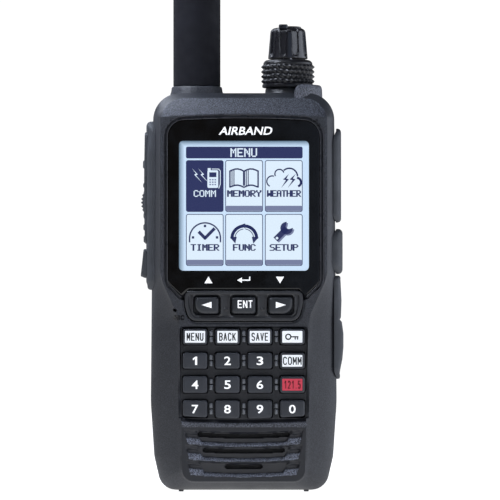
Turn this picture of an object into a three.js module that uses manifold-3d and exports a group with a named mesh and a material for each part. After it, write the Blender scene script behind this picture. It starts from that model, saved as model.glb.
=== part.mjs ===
// Handheld VHF airband transceiver, built as an assembly of separate parts.
// Millimetres, +Z up, the display and keys face -Y. The origin is under the middle of the radio, on the
// surface it stands on. Depths are counted back from the front panel: a depth d lies at Y = d - DEPTH_CENTRE.
import * as THREE from "three";
import { mergeVertices } from "three/addons/utils/BufferGeometryUtils.js";
import Module from "manifold-3d";

const wasm = await Module();
wasm.setup();

// ---------------------------------------------------------------- driving dimensions
const DEPTH_CENTRE = 21.4; // depth of the middle of everything, from the keys to the belt clip
const BASE = 0.9; // height of the case's underside over its feet
const TOP = 133.6; // height of the case's top face
const HALF_WIDTH = 31.15; // widest half width of the case
const SPLIT = 18; // depth of the seam between the front and rear cases
const TOP_SPLIT = 26.5; // depth of that seam behind the antenna and knobs
const CHIN = { bottom: 125.4, slope: 1.1 }; // the sloped strip above the display, and its rise per depth
const BAY_TOP = 106.7; // height where the front case steps back over the battery bay
const BACK = 33.2; // depth of the battery's back face
const WALL = 2.1; // case wall
const GAP = 0.3; // clearance between separate parts

const KEY = { columns: [-16.2, -5.4, 5.4, 16.2], width: 8.2, proud: 1.2, back: 3.0, play: 0.25 };
const KEY_ROWS = [
  { z: 52.1, height: 5.3 },
  { z: 44.1, height: 5.4 },
  { z: 36.15, height: 5.6 },
  { z: 28.0, height: 5.8 },
];
const KEY_NAMES = [
  ["key_menu", "key_back", "key_save", "key_lock"],
  ["key_1", "key_2", "key_3", "key_comm"],
  ["key_4", "key_5", "key_6", "key_emergency"],
  ["key_7", "key_8", "key_9", "key_0"],
];
const NAV = { z: 62.5, pitch: 12.3, width: 8.3, height: 5.8, proud: 1.5 };
const POD = { half: 19.7, top: 67.4, bottom: 57.3 }; // surround of the three navigation keys
const WINDOW = { half: 25.3, top: 124.0, knee: 70.1, foot: 65.3, footHalf: 20.6, thickness: 1.5 };
const LCD = { half: 21.7, bottom: 74.3, top: 117.6 }; // the area that can be seen
const FOOT = { x: 21, half: 0.8, top: 3.5, front: [7, 14], rear: [24, 31] }; // the rails the radio stands on
const GRILLE = [
  { z: 19.3, half: 15.3, height: 1.6 },
  { z: 14.0, half: 13.6, height: 1.6 },
  { z: 8.4, half: 8.4, height: 1.3 },
];
const BOSS = { root: 9.0, shoulder: 8.8, rim: 8.4, top: 136.0, bore: 4.2 }; // the antenna's seat
const ANTENNA = { x: -15.85, depth: 15.5, foot: 136.3, radius: 7.95, tipRadius: 5.2, sleeve: 48, top: 305 };
const KNOB = { x: 14.9, depth: 15.5, seat: 7.6, seatTop: 135.5, bore: 4.9 };
const GUARD = { inner: 9.4, outer: 11.3, from: -78, to: 35, top: 136.6 }; // the wall round the knobs
const RING = { bottom: 135.9, top: 145.1, bore: 3.5, hub: 2.3, hubBottom: 142.8, rows: 4, pitch: 1.62 };
const SELECTOR = { bottom: 145.5, top: 156.4, bore: 1.85, boreTop: 153.8, flutes: 9, pointerTop: 157.0 };
const LEFT_PAD = { from: 67.8, to: 124.0, front: 5, back: 16.6, inner: -31.1, outer: -32.3 };
const PTT = { from: 83.0, to: 120.6, front: 6.3, back: 15.3 };
const MONITOR = { from: 71.6, to: 81.4, front: 6.3, back: 15.3 };
const MIC_FLAP = { from: 90.2, to: 121.8, reach: 32.6, plug: 3.4 };
const DC_FLAP = { from: 72.9, to: 88.1, reach: 33.1, plug: 2.7 };
const GRIP = { from: 37.7, to: 72.4, reach: 32.6, swellFrom: 39.5, swellTo: 57.2, swellReach: 33.4 };
const SIDE = { front: 5.4, back: 16.2, inner: 31.15 }; // where the pads on the right side lie
const JACK = { depth: 10.8, mic: 106.5, power: 80.8 }; // axes of the two sockets behind the pads
const BATTERY = { half: 29.3, front: 21.7, top: 104.2, bottomFront: 10.0, bottomBack: 8.2 };
const CLIP = { half: 9.5, bottom: 76, top: 131, inner: 39, outer: 41, back: 44.2 };
const PIN = { z: 122.5, depth: 40, radius: 1.1, barrel: 2.3 }; // the axis of the belt clip
const LATCH = { front: 27.6, travel: 2.5, toothFront: 28.6, toothBack: 30.8, toothTop: 8.2 };

// ---------------------------------------------------------------- materials
const material = (color, roughness, metalness) =>
  new THREE.MeshStandardMaterial({ color, roughness, metalness });
const plastic = (color, roughness = 0.6) => material(color, roughness, 0);
const metal = (color, roughness = 0.35) => material(color, roughness, 1);
const MATERIAL = {
  case: plastic(0x33343a),
  rubber: plastic(0x2c2e34, 0.8),
  key: plastic(0x30343a, 0.5),
  knob: plastic(0x18171c, 0.4),
  glass: plastic(0x0a0908, 0.08),
  screen: plastic(0xcfe4f7, 0.4),
  board: plastic(0x1f5a34, 0.5),
  steel: metal(0xb8babd),
  brass: metal(0xc9a24a),
  cell: plastic(0x3c6ea8, 0.4),
  mesh: plastic(0x0b0b0c, 0.9),
};

// ---------------------------------------------------------------- solids
const signedVolume = (positions, index) => {
  const [a, b, c] = [new THREE.Vector3(), new THREE.Vector3(), new THREE.Vector3()];
  let sum = 0;
  for (let i = 0; i < index.length; i += 3) {
    [a, b, c].forEach((v, k) => v.fromArray(positions, 3 * index[i + k]));
    sum += a.dot(b.cross(c)) / 6;
  }
  return sum;
};

function solid(geometry) {
  const bare = geometry.clone();
  bare.deleteAttribute("normal");
  bare.deleteAttribute("uv");
  const merged = mergeVertices(bare, 1e-4);
  const vertProperties = new Float32Array(merged.attributes.position.array);
  return new wasm.Manifold(
    new wasm.Mesh({ numProp: 3, vertProperties, triVerts: new Uint32Array(merged.index.array) }),
  );
}

function geometryOf(manifold) {
  const mesh = manifold.getMesh();
  const geometry = new THREE.BufferGeometry();
  geometry.setAttribute("position", new THREE.BufferAttribute(mesh.vertProperties, 3));
  geometry.setIndex(new THREE.BufferAttribute(mesh.triVerts, 1));
  geometry.computeVertexNormals();
  return geometry;
}

const join = (...parts) => geometryOf(parts.map(solid).reduce((all, part) => all.add(part)));
const cut = (base, ...tools) =>
  geometryOf(tools.map(solid).reduce((left, tool) => left.subtract(tool), solid(base)));
const common = (a, b) => geometryOf(solid(a).intersect(solid(b)));

// A closed polygon whose corners [x, y, radius] are rounded by arcs of `steps` pieces each.
function rounded(corners, steps = 3) {
  const points = [];
  corners.forEach(([x, y, radius], i) => {
    const here = new THREE.Vector2(x, y);
    const before = corners[(i + corners.length - 1) % corners.length];
    const after = corners[(i + 1) % corners.length];
    const back = new THREE.Vector2(before[0] - x, before[1] - y).normalize();
    const ahead = new THREE.Vector2(after[0] - x, after[1] - y).normalize();
    const half = Math.acos(THREE.MathUtils.clamp(back.dot(ahead), -1, 1)) / 2;
    const centre = back.clone().add(ahead).normalize().multiplyScalar(radius / Math.sin(half)).add(here);
    const start = back.clone().multiplyScalar(radius / Math.tan(half)).add(here);
    const sweep = Math.PI - 2 * half;
    const turn = back.cross(ahead) > 0 ? -sweep : sweep;
    for (let k = 0; k <= steps; k++) points.push(start.clone().rotateAround(centre, (turn * k) / steps));
  });
  return points;
}

const rectangle = (x0, y0, x1, y1, radius, steps) =>
  rounded([[x0, y0, radius], [x1, y0, radius], [x1, y1, radius], [x0, y1, radius]], steps);
const circle = (x, y, radius, sides = 24) =>
  Array.from({ length: sides }, (_, i) => {
    const a = (2 * Math.PI * i) / sides;
    return new THREE.Vector2(x + radius * Math.cos(a), y + radius * Math.sin(a));
  });
const polygon = (corners) => corners.map(([x, y]) => new THREE.Vector2(x, y));
const mirrored = (rightSide) => [...rightSide, ...rightSide.map(([x, z, r]) => [-x, z, r]).reverse()];
const extruded = (points, depth) =>
  new THREE.ExtrudeGeometry(new THREE.Shape(points), { depth, bevelEnabled: false, curveSegments: 1 });

// An outline in X and Z, from one depth to another.
const plate = (outline, from, to) => extruded(outline, to - from).rotateX(Math.PI / 2).translate(0, to, 0);
// An outline in depth and Z, from one X to another.
const SIDEWAYS = new THREE.Matrix4().makeBasis(
  new THREE.Vector3(0, 1, 0),
  new THREE.Vector3(0, 0, 1),
  new THREE.Vector3(1, 0, 0),
);
const slab = (outline, from, to) => extruded(outline, to - from).applyMatrix4(SIDEWAYS).translate(from, 0, 0);
// An outline in X and depth, from one height to another.
const column = (outline, from, to) => extruded(outline, to - from).translate(0, 0, from);
const box = (x0, d0, z0, x1, d1, z1) =>
  new THREE.BoxGeometry(x1 - x0, d1 - d0, z1 - z0).translate((x0 + x1) / 2, (d0 + d1) / 2, (z0 + z1) / 2);
// A turned part on a vertical axis, from its profile of [radius, height] points.
const turned = (profile, x, depth, sides = 24) =>
  new THREE.LatheGeometry(profile.map(([r, z]) => new THREE.Vector2(r, z)), sides)
    .rotateX(Math.PI / 2)
    .translate(x, depth, 0);
const rodX = (radius, x0, x1, depth, z, sides = 16) =>
  new THREE.CylinderGeometry(radius, radius, x1 - x0, sides)
    .rotateZ(Math.PI / 2)
    .translate((x0 + x1) / 2, depth, z);
const rodY = (radius, d0, d1, x, z, sides = 16) =>
  new THREE.CylinderGeometry(radius, radius, d1 - d0, sides).translate(x, (d0 + d1) / 2, z);

const rodZ = (radius, z0, z1, x, depth, sides = 16) =>
  turned([[0, z0], [radius, z0], [radius, z1], [0, z1]], x, depth, sides);

// A closed skin through outlines of equal length, each at its own depth.
function loft(layers) {
  const count = layers[0].outline.length;
  const positions = layers.flatMap(({ outline, depth }) => outline.flatMap((p) => [p.x, depth, p.y]));
  const index = [];
  for (let s = 0; s + 1 < layers.length; s++)
    for (let i = 0; i < count; i++) {
      const [a, b] = [s * count + i, s * count + ((i + 1) % count)];
      index.push(a, b, b + count, a, b + count, a + count);
    }
  [0, layers.length - 1].forEach((s) => {
    const { outline } = layers[s];
    const along = THREE.ShapeUtils.area(outline) > 0;
    const wanted = s === 0 ? !along : along;
    THREE.ShapeUtils.triangulateShape(outline, []).forEach((face) => {
      const [a, b, c] = face;
      const ccw = THREE.ShapeUtils.area([outline[a], outline[b], outline[c]]) > 0;
      const kept = ccw === wanted ? [a, b, c] : [a, c, b];
      index.push(...kept.map((k) => s * count + k));
    });
  });
  if (signedVolume(positions, index) < 0) index.reverse();
  const geometry = new THREE.BufferGeometry();
  geometry.setAttribute("position", new THREE.Float32BufferAttribute(positions, 3));
  return geometry.setIndex(index);
}

const blend = (a, b, share) => a.map((p, i) => p.clone().lerp(b[i], share));

// ---------------------------------------------------------------- outlines seen from the front
const caseOutline = (inset) =>
  rounded(
    mirrored([
      [30.3 - inset, TOP - inset, 9 - inset],
      [HALF_WIDTH - inset, 30, 60],
      [30.0 - inset, 12, 12],
      [27.4 - inset, BASE + inset, 6 - inset],
    ]),
    4,
  );
const panelOutline = (inset, top = 131.8) =>
  rounded(
    mirrored([
      [27.8 - inset, top - inset, 7],
      [27.8 - inset, 72, 12],
      [21.6 - inset, 58, 14],
      [20.4 - inset, 3.8 + inset, 4],
    ]),
    4,
  );
const windowOutline = (grow) =>
  rounded(
    mirrored([
      [WINDOW.half + grow, WINDOW.top + grow, 5],
      [WINDOW.half + grow, WINDOW.knee - 0.4 * grow, 2.5],
      [WINDOW.footHalf + 0.4 * grow, WINDOW.foot - grow, 1.5],
    ]),
  );
const podOutline = (grow) =>
  rounded(
    mirrored([
      [POD.half + grow, POD.top + grow, 1.8 + grow],
      [POD.half + grow, 62.5, 4],
      [POD.half - 1.6 + grow, POD.bottom - grow, 3.4 + grow],
    ]),
  );
const keyHoles = () =>
  KEY_ROWS.flatMap(({ z, height }) =>
    KEY.columns.map((x) => {
      const [w, h] = [KEY.width / 2 + KEY.play, height / 2 + KEY.play];
      return plate(rectangle(x - w, z - h, x + w, z + h, 1.1, 2), -1, 5);
    }),
  );
const footRails = ([front, back]) =>
  [-1, 1].map((side) => box(side * FOOT.x - FOOT.half, front, 0, side * FOOT.x + FOOT.half, back, FOOT.top));
// A side button's outline, grown by the play round it.
const buttonOutline = ({ front, from, back, to }, grow, radius) =>
  rectangle(front - grow, from - grow, back + grow, to + grow, radius, 2);
const buttonWells = () => [PTT, MONITOR].map((button) => slab(buttonOutline(button, GAP, 1.5), -36, -27));

// ---------------------------------------------------------------- cases
// The knob's guard: a low wall curving round the front and right of the knobs.
function knobGuard() {
  const { inner, outer, from, to, top } = GUARD;
  const steps = 8;
  const arc = (radius) =>
    Array.from({ length: steps + 1 }, (_, i) => {
      const a = THREE.MathUtils.degToRad(from + ((to - from) * i) / steps);
      return new THREE.Vector2(KNOB.x + radius * Math.cos(a), KNOB.depth + radius * Math.sin(a));
    });
  return column([...arc(outer), ...arc(inner).reverse()], 128, top);
}

function frontCase() {
  const [outline, panel] = [caseOutline(0), panelOutline(0)];
  const shell = loft([
    { outline: panel, depth: 0 },
    { outline: blend(panel, outline, 0.14), depth: 0.45 },
    { outline: blend(panel, outline, 0.96), depth: 5.2 },
    { outline, depth: 6.6 },
    { outline, depth: TOP_SPLIT },
  ]);
  const inside = loft([
    { outline: panelOutline(1.2, 123.5), depth: 2.4 },
    { outline: caseOutline(WALL), depth: 8 },
    { outline: caseOutline(WALL), depth: TOP_SPLIT + 1 },
  ]);
  const rise = 30 * CHIN.slope;
  const overChin = polygon([[-30, CHIN.bottom - rise], [30, CHIN.bottom + rise], [-30, 160]]);
  const chin = slab(overChin, -40, 40);
  const { root, shoulder, rim, top } = BOSS;
  const bossShape = [[0, 128], [root, 128], [shoulder, TOP], [rim, top], [0, top]];
  const boss = turned(bossShape, ANTENNA.x, ANTENNA.depth);
  const { seat, seatTop } = KNOB;
  const knobSeat = turned([[0, 130], [seat, 130], [seat, seatTop], [0, seatTop]], KNOB.x, KNOB.depth);
  const outside = join(cut(shell, chin), boss, knobSeat, knobGuard(), ...footRails(FOOT.front));
  return cut(
    outside,
    inside,
    box(-40, SPLIT, -5, 40, 60, BAY_TOP),
    plate(windowOutline(1.5), -1, 1.8),
    plate(rectangle(-23, 73, 23, 119, 1, 1), 1, 5),
    plate(podOutline(0.25), -2, 5),
    plate(rectangle(-21.4, 24.4, 21.4, 55.6, 1.2, 2), -1, 0.9),
    ...keyHoles(),
    ...GRILLE.map(({ z, half, height }) =>
      plate(rectangle(-half, z - height / 2, half, z + height / 2, 0.5, 1), -1, 6),
    ),
    rodY(0.5, -1, 6, -22.9, 60.9, 8),
    ...buttonWells(),
    slab(circle(JACK.depth, JACK.mic, 4, 16), 27, 36),
    slab(circle(JACK.depth, JACK.power, 3.2, 16), 27, 36),
    rodZ(BOSS.bore, 120, 140, ANTENNA.x, ANTENNA.depth),
    rodZ(KNOB.bore, 120, 140, KNOB.x, KNOB.depth),
  );
}

function rearCase() {
  const outline = caseOutline(0);
  const body = loft([
    { outline, depth: SPLIT + GAP },
    { outline, depth: 30.2 },
    { outline: caseOutline(0.7), depth: 32.2 },
    { outline: caseOutline(2), depth: BACK },
  ]);
  const bay = slab(polygon([[21.3, 9.6], [40, 6.7], [40, 104.6], [21.3, 104.6]]), -40, 40);
  const shoulder = box(-40, 10, BAY_TOP - GAP, 40, TOP_SPLIT + GAP, 140);
  const { front, travel, toothFront, toothBack } = LATCH;
  const latchBay = box(-9.3, front - travel - 0.4, -1, 9.3, 40, 5.3);
  const toothSlot = box(-4.4, toothFront - travel - 0.4, 5, 4.4, toothBack + 0.4, 12);
  const outside = join(cut(body, bay, shoulder), ...footRails(FOOT.rear));
  return cut(outside, latchBay, toothSlot, ...clipScrewHoles(), ...caseScrewHoles());
}

const CASE_SCREWS = [
  { x: -24, z: 99.5 },
  { x: 24, z: 14.5 },
];
const caseScrewHoles = () => CASE_SCREWS.map(({ x, z }) => rodY(1.6, 19.2, 22, x, z, 12));
const caseScrew = ({ x, z }) =>
  cut(rodY(1.4, 19.4, 21.2, x, z, 12), box(x - 1, 20.7, z - 0.25, x + 1, 22, z + 0.25));

// ---------------------------------------------------------------- display
const displayWindow = () =>
  cut(plate(windowOutline(0), 0.1, 0.1 + WINDOW.thickness), plate(podOutline(0.5), -2, 5));
const lcdModule = () =>
  join(
    plate(rectangle(-LCD.half, LCD.bottom, LCD.half, LCD.top, 0.6, 1), 2.0, 3.2),
    plate(rectangle(-22.7, 73.3, 22.7, 118.7, 0.8, 1), 2.6, 5.4),
  );

// ---------------------------------------------------------------- keys
const keyCap = (outline, front) => {
  const centre = outline.reduce((sum, p) => sum.add(p), new THREE.Vector2()).divideScalar(outline.length);
  const shrink = (share) => outline.map((p) => p.clone().sub(centre).multiplyScalar(share).add(centre));
  return loft([
    { outline: shrink(0.9), depth: -front },
    { outline: shrink(0.99), depth: -front + 0.45 },
    { outline, depth: 0.6 },
    { outline, depth: KEY.back },
  ]);
};
const padKey = (x, { z, height }) =>
  keyCap(rectangle(x - KEY.width / 2, z - height / 2, x + KEY.width / 2, z + height / 2, 0.9, 2), KEY.proud);
// side is -1 for the left arrow, 1 for the right arrow and 0 for the middle key
function navKey(side) {
  const x = side * NAV.pitch;
  const [w, h] = [NAV.width / 2, NAV.height / 2];
  const outer = [x + side * w, NAV.z - h, 2.6];
  const inner = [x - side * w, NAV.z - h, 0.8];
  const foot = side < 0 ? [outer, inner] : [inner, outer];
  const corners = side === 0 ? [[-w, NAV.z - h, 0.8], [w, NAV.z - h, 0.8]] : foot;
  return keyCap(rounded([...corners, [x + w, NAV.z + h, 0.8], [x - w, NAV.z + h, 0.8]], 2), NAV.proud);
}
function navBezel() {
  const ring = cut(plate(podOutline(0), -0.3, 2.2), plate(podOutline(-0.9), -2, 0.5));
  const holes = [-1, 0, 1].map((side) => {
    const x = side * NAV.pitch;
    const [w, h] = [NAV.width / 2 + KEY.play, NAV.height / 2 + KEY.play];
    return plate(rectangle(x - w, NAV.z - h, x + w, NAV.z + h, 0.8, 1), -2, 5);
  });
  return cut(ring, ...holes);
}
function keypadMat() {
  const sheet = plate(rectangle(-20.9, 24.6, 20.9, 66.6, 2, 2), 3.9, 4.7);
  const dome = (x, z) => box(x - 1.5, 4.6, z - 1.5, x + 1.5, 5.2, z + 1.5);
  const domes = KEY_ROWS.flatMap(({ z }) => KEY.columns.map((x) => dome(x, z)));
  return join(sheet, ...domes, ...[-1, 0, 1].map((side) => dome(side * NAV.pitch, NAV.z)));
}

// ---------------------------------------------------------------- inside
function mainBoard() {
  const outline = rounded(mirrored([[25.2, 116, 2], [25.2, 62, 2], [21.5, 50, 2], [21.5, 24.6, 2]]), 2);
  return cut(plate(outline, 6.0, 7.4), box(22, 5, 101.5, 30, 9, 111.5), box(22, 5, 76.6, 30, 9, 85));
}
const rfShield = () => cut(box(-21, 7.6, 62, 21, 12.6, 104), box(-20.5, 7, 62.5, 20.5, 12.1, 103.5));
function speaker() {
  return join(
    rodY(14.4, 8.2, 10.2, 0, 18.6, 24),
    rodY(11.5, 9.9, 13.0, 0, 18.6, 24),
    rodY(7.0, 12.7, 16.4, 0, 18.6, 16),
  );
}
const speakerMesh = () => plate(rectangle(-17.5, 6.3, 17.5, 22.2, 2, 2), 2.7, 3.0);
const microphone = () => rodY(1.9, 4.95, 5.75, -22.9, 61.5, 12);

// A jack body with an open bore towards +X.
function jack(z, radius, bore, from, to) {
  const { depth } = JACK;
  const half = radius + 0.6;
  const block = box(from, depth - half, z - half, to - 3, depth + half, z + half);
  return cut(join(rodX(radius, from, to, depth, z, 16), block), rodX(bore, from + 3, to + 1, depth, z, 12));
}

// ---------------------------------------------------------------- top
function antennaJack() {
  const barrel = [[0, 122], [3.8, 122], [3.8, 134.6], [3.1, 134.7], [3.1, 142.4]];
  const socket = [[0.7, 142.4], [0.7, 136], [0, 136]];
  return turned([...barrel, ...socket], ANTENNA.x, ANTENNA.depth, 16);
}
function antennaSleeve() {
  const { x, depth, foot, radius, tipRadius, sleeve, top } = ANTENNA;
  const shape = [
    [4.9, foot],
    [radius - 0.3, foot],
    [radius, foot + 0.4],
    [radius - 0.1, foot + sleeve],
    [tipRadius + 1.1, foot + sleeve + 26],
    [tipRadius, top - 24],
    [tipRadius - 0.5, top - 4],
    [tipRadius - 2.2, top - 1],
    [0, top],
    [0, foot + 16],
    [4.9, foot + 16],
    [4.9, foot],
  ];
  return turned(shape, x, depth);
}
const antennaInsert = () =>
  turned(
    [[3.45, 136.4], [4.6, 136.4], [4.6, 150], [0, 150], [0, 144], [3.45, 144], [3.45, 136.4]],
    ANTENNA.x,
    ANTENNA.depth,
    16,
  );
function dualEncoder() {
  const { x, depth } = KNOB;
  const body = box(x - 6.6, depth - 6.6, 116.8, x + 6.6, depth + 6.6, 126.5);
  return cut(join(body, rodZ(4.5, 126, 135.6, x, depth)), rodZ(3.6, 124, 137, x, depth));
}
const volumeShaft = () =>
  turned([[1.9, 124.4], [3.2, 124.4], [3.2, 142.3], [1.9, 142.3], [1.9, 124.4]], KNOB.x, KNOB.depth, 16);
function volumeRing() {
  const { bottom, top, bore, hub, hubBottom, rows, pitch } = RING;
  const start = bottom + 1.2;
  const teeth = Array.from({ length: rows }, (_, i) => [
    [8.25, start + pitch * i],
    [8.95, start + pitch * (i + 0.5)],
  ]).flat();
  const collar = [[bore, bottom], [8.5, bottom], [8.5, start - 0.1]];
  const shoulder = [[8.25, start + pitch * rows], [7.2, top]];
  const inside = [[hub, top], [hub, hubBottom], [bore, hubBottom], [bore, bottom]];
  return turned([...collar, ...teeth, ...shoulder, ...inside], KNOB.x, KNOB.depth, 36);
}
const selectorShaft = () => rodZ(1.55, 125, SELECTOR.boreTop - 0.5, KNOB.x, KNOB.depth, 12);
function selectorKnob() {
  const { bottom, top, bore, boreTop, flutes, pointerTop } = SELECTOR;
  const side = [[6.64, bottom], [6.6, bottom + 1], [5.93, top - 1.7], [5.0, top - 0.4], [3.6, top]];
  const inside = [[0, top], [0, boreTop], [bore, boreTop], [bore, bottom]];
  const body = turned([[bore, bottom], ...side, ...inside], KNOB.x, KNOB.depth, 36);
  const grooves = Array.from({ length: flutes }, (_, i) => {
    const a = THREE.MathUtils.degToRad(17 + (360 / flutes) * i);
    const groove = new THREE.CylinderGeometry(1.15, 1.15, 14, 8).rotateX(Math.PI / 2);
    return groove.translate(KNOB.x + 6.75 * Math.cos(a), KNOB.depth + 6.75 * Math.sin(a), bottom + 9);
  });
  const pointer = box(KNOB.x - 2.6, KNOB.depth - 4.2, top - 0.3, KNOB.x + 0.4, KNOB.depth + 1.5, pointerTop);
  return join(cut(body, ...grooves), pointer);
}

// ---------------------------------------------------------------- left side
function leftKeyFrame() {
  const { front, from, back, to, inner, outer } = LEFT_PAD;
  return cut(slab(rectangle(front, from, back, to, 3, 3), outer, inner), ...buttonWells());
}
function pttButton() {
  const cap = slab(buttonOutline(PTT, 0, 1.8), -33.2, -29.4);
  const rib = (z, reach) => box(-reach, PTT.front + 1.5, z - 0.6, -33.1, PTT.back - 1.5, z + 0.6);
  const grip = [94.6, 96.7, 98.8].map((z) => rib(z, 34.3));
  const ribs = [90, 86.4, 110].map((z) => rib(z, 33.7));
  return join(cap, ...grip, ...ribs);
}
function monitorButton() {
  const { from, to } = MONITOR;
  const corners = [[-33.0, to], [-34.3, from + 0.8], [-33.4, from], [-29.4, from], [-29.4, to]];
  const wedge = new THREE.Shape(polygon(corners));
  const long = new THREE.ExtrudeGeometry(wedge, { depth: MONITOR.back - MONITOR.front, bevelEnabled: false })
    .rotateX(Math.PI / 2)
    .translate(0, MONITOR.back, 0);
  return common(long, slab(buttonOutline(MONITOR, 0, 1.4), -36, -27));
}
function sideSwitches() {
  const board = box(-26.6, 7, 72, -25.8, 14, 118);
  const switches = [102, 76.5].map((z) => box(-27.8, 8.8, z - 2, -26.5, 12.8, z + 2));
  return join(board, ...switches);
}

// ---------------------------------------------------------------- right side
function flap({ from, to, reach, plug }, plugZ) {
  const { front, back, inner } = SIDE;
  const pad = slab(rectangle(front, from, back, to, 2.6, 3), inner, reach);
  return join(pad, rodX(plug, inner - 0.8, inner + 0.2, JACK.depth, plugZ, 12));
}
function sideGrip() {
  const { front, back, inner } = SIDE;
  const { from, to, reach, swellFrom, swellTo, swellReach } = GRIP;
  const pad = slab(rectangle(front, from, back, to, 2.6, 3), inner, reach);
  const swell = rectangle(front + 0.8, swellFrom, back - 0.8, swellTo, 1.6, 2);
  return join(pad, slab(swell, inner + 0.3, swellReach));
}

// ---------------------------------------------------------------- battery pack
function batterySide() {
  const { front, top, bottomFront, bottomBack } = BATTERY;
  return polygon([[front, bottomFront], [BACK, bottomBack], [BACK, top], [front, top]]);
}
function batteryCase() {
  const { half, top } = BATTERY;
  const section = rounded([[-half, 20, 0.4], [half, 20, 0.4], [half, BACK, 3.2], [-half, BACK, 3.2]], 3);
  const block = common(column(section, 0, 120), slab(batterySide(), -40, 40));
  const inCase = common(block, plate(caseOutline(0.3), 15, 40));
  return cut(inCase, box(-half + 1.6, 20, 11.6, half - 1.6, BACK - 1.6, top - 1.8));
}
function batteryLid() {
  const { half, front, top } = BATTERY;
  return box(-half + 2, front, 12, half - 2, front + 1.2, top - 2.2);
}
const batteryCell = (z0, z1) => slab(rectangle(23.5, z0, 31.2, z1, 2.5, 2), -25.5, 25.5);
function batteryLatch() {
  const { front, toothFront, toothBack, toothTop } = LATCH;
  const slider = box(-8.9, front, 1.3, 8.9, 32.9, 4.9);
  const finger = box(-7.5, 32.7, 1.8, 7.5, 33.6, 3.4);
  const tooth = box(-4, toothFront, 4.7, 4, toothBack, toothTop);
  return join(slider, finger, tooth);
}

// ---------------------------------------------------------------- belt clip
const CLIP_SCREWS = [-1, 1].map((side) => ({ x: side * 5.5, z: 112.5 }));
const clipScrewHoles = () => CLIP_SCREWS.map(({ x, z }) => rodY(1.4, 29, 34, x, z, 12));
function clipBracket() {
  const base = plate(rectangle(-12, 107.8, 12, 127, 2, 2), 33.4, 34.9);
  const ears = [-1, 1].map((side) => {
    const [near, far] = [side * 10.1, side * 11.7].sort((a, b) => a - b);
    const { depth, z } = PIN;
    const nose = [[depth + 2, z - 2.4, 2], [depth + 2, z + 2.4, 2]];
    return slab(rounded([[34.5, z - 5, 0.2], ...nose, [34.5, z + 4, 0.2]]), near, far);
  });
  const pinHole = rodX(PIN.radius + 0.1, -20, 20, PIN.depth, PIN.z, 12);
  const holes = CLIP_SCREWS.map(({ x, z }) => rodY(1.4, 30, 36, x, z, 12));
  return cut(join(base, ...ears), pinHole, ...holes);
}
const clipPin = () => rodX(PIN.radius - 0.1, -12.2, 12.2, PIN.depth, PIN.z, 12);
function clipScrew({ x, z }) {
  const slot = box(x - 3, 35.9, z - 0.35, x + 3, 37, z + 0.35);
  return cut(join(rodY(1.1, 30.5, 35.2, x, z, 12), rodY(2.2, 35.1, 36.3, x, z, 16)), slot);
}
function clipTongue() {
  const { half, bottom, top, inner, outer, back } = CLIP;
  const profile = rounded([
    [inner, 80, 2],
    [inner, 110, 8],
    [PIN.depth + 0.9, 116, 6],
    [PIN.depth + 0.9, PIN.z + 3, 6],
    [PIN.depth + 0.3, top, 0.3],
    [PIN.depth + 2.3, top, 0.6],
    [back, PIN.z, 8],
    [back, 112, 8],
    [back, bottom + 6, 4],
    [outer, bottom, 1.5],
    [inner - 0.1, bottom, 0.6],
  ]);
  const barrel = (x0, x1) => rodX(PIN.barrel, x0, x1, PIN.depth, PIN.z, 16);
  const bore = rodX(PIN.radius + 0.15, -20, 20, PIN.depth, PIN.z, 12);
  const springBay = rodX(2.9, -5.0, 5.0, PIN.depth, PIN.z, 16);
  return cut(join(slab(profile, -half, half), barrel(-half, -5.2), barrel(5.2, half)), bore, springBay);
}
function clipSpring() {
  const { depth, z } = PIN;
  return cut(rodX(2.1, -4.6, 4.6, depth, z, 16), rodX(1.35, -20, 20, depth, z, 12));
}

// ---------------------------------------------------------------- assembly
const model = new THREE.Group();
model.position.y = -DEPTH_CENTRE;
function add(name, geometry, finish) {
  const mesh = new THREE.Mesh(geometry, finish);
  mesh.name = name;
  model.add(mesh);
}

add("front_case", frontCase(), MATERIAL.case);
add("rear_case", rearCase(), MATERIAL.case);
CASE_SCREWS.forEach((place, i) => add(`case_screw_${i + 1}`, caseScrew(place), MATERIAL.steel));
add("display_window", displayWindow(), MATERIAL.glass);
add("lcd_module", lcdModule(), MATERIAL.screen);
add("nav_bezel", navBezel(), MATERIAL.knob);
add("keypad_mat", keypadMat(), MATERIAL.rubber);
KEY_ROWS.forEach((row, r) =>
  KEY.columns.forEach((x, c) => add(KEY_NAMES[r][c], padKey(x, row), MATERIAL.key)),
);
["key_left", "key_enter", "key_right"].forEach((name, i) => add(name, navKey(i - 1), MATERIAL.key));
add("main_board", mainBoard(), MATERIAL.board);
add("rf_shield", rfShield(), MATERIAL.steel);
add("speaker", speaker(), MATERIAL.knob);
add("speaker_mesh", speakerMesh(), MATERIAL.mesh);
add("microphone", microphone(), MATERIAL.steel);
add("mic_sp_jack", jack(JACK.mic, 3.7, 1.8, 22.5, 30.0), MATERIAL.knob);
add("dc_jack", jack(JACK.power, 2.9, 1.5, 22.8, 30.0), MATERIAL.knob);
add("side_switches", sideSwitches(), MATERIAL.board);
add("antenna_jack", antennaJack(), MATERIAL.brass);
add("antenna_sleeve", antennaSleeve(), MATERIAL.rubber);
add("antenna_insert", antennaInsert(), MATERIAL.brass);
add("dual_encoder", dualEncoder(), MATERIAL.steel);
add("volume_shaft", volumeShaft(), MATERIAL.steel);
add("volume_ring", volumeRing(), MATERIAL.knob);
add("selector_shaft", selectorShaft(), MATERIAL.steel);
add("selector_knob", selectorKnob(), MATERIAL.knob);
add("left_key_frame", leftKeyFrame(), MATERIAL.rubber);
add("ptt_button", pttButton(), MATERIAL.rubber);
add("monitor_button", monitorButton(), MATERIAL.rubber);
add("mic_sp_flap", flap(MIC_FLAP, JACK.mic), MATERIAL.rubber);
add("dc_flap", flap(DC_FLAP, JACK.power), MATERIAL.rubber);
add("side_grip", sideGrip(), MATERIAL.rubber);
add("battery_case", batteryCase(), MATERIAL.case);
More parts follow.
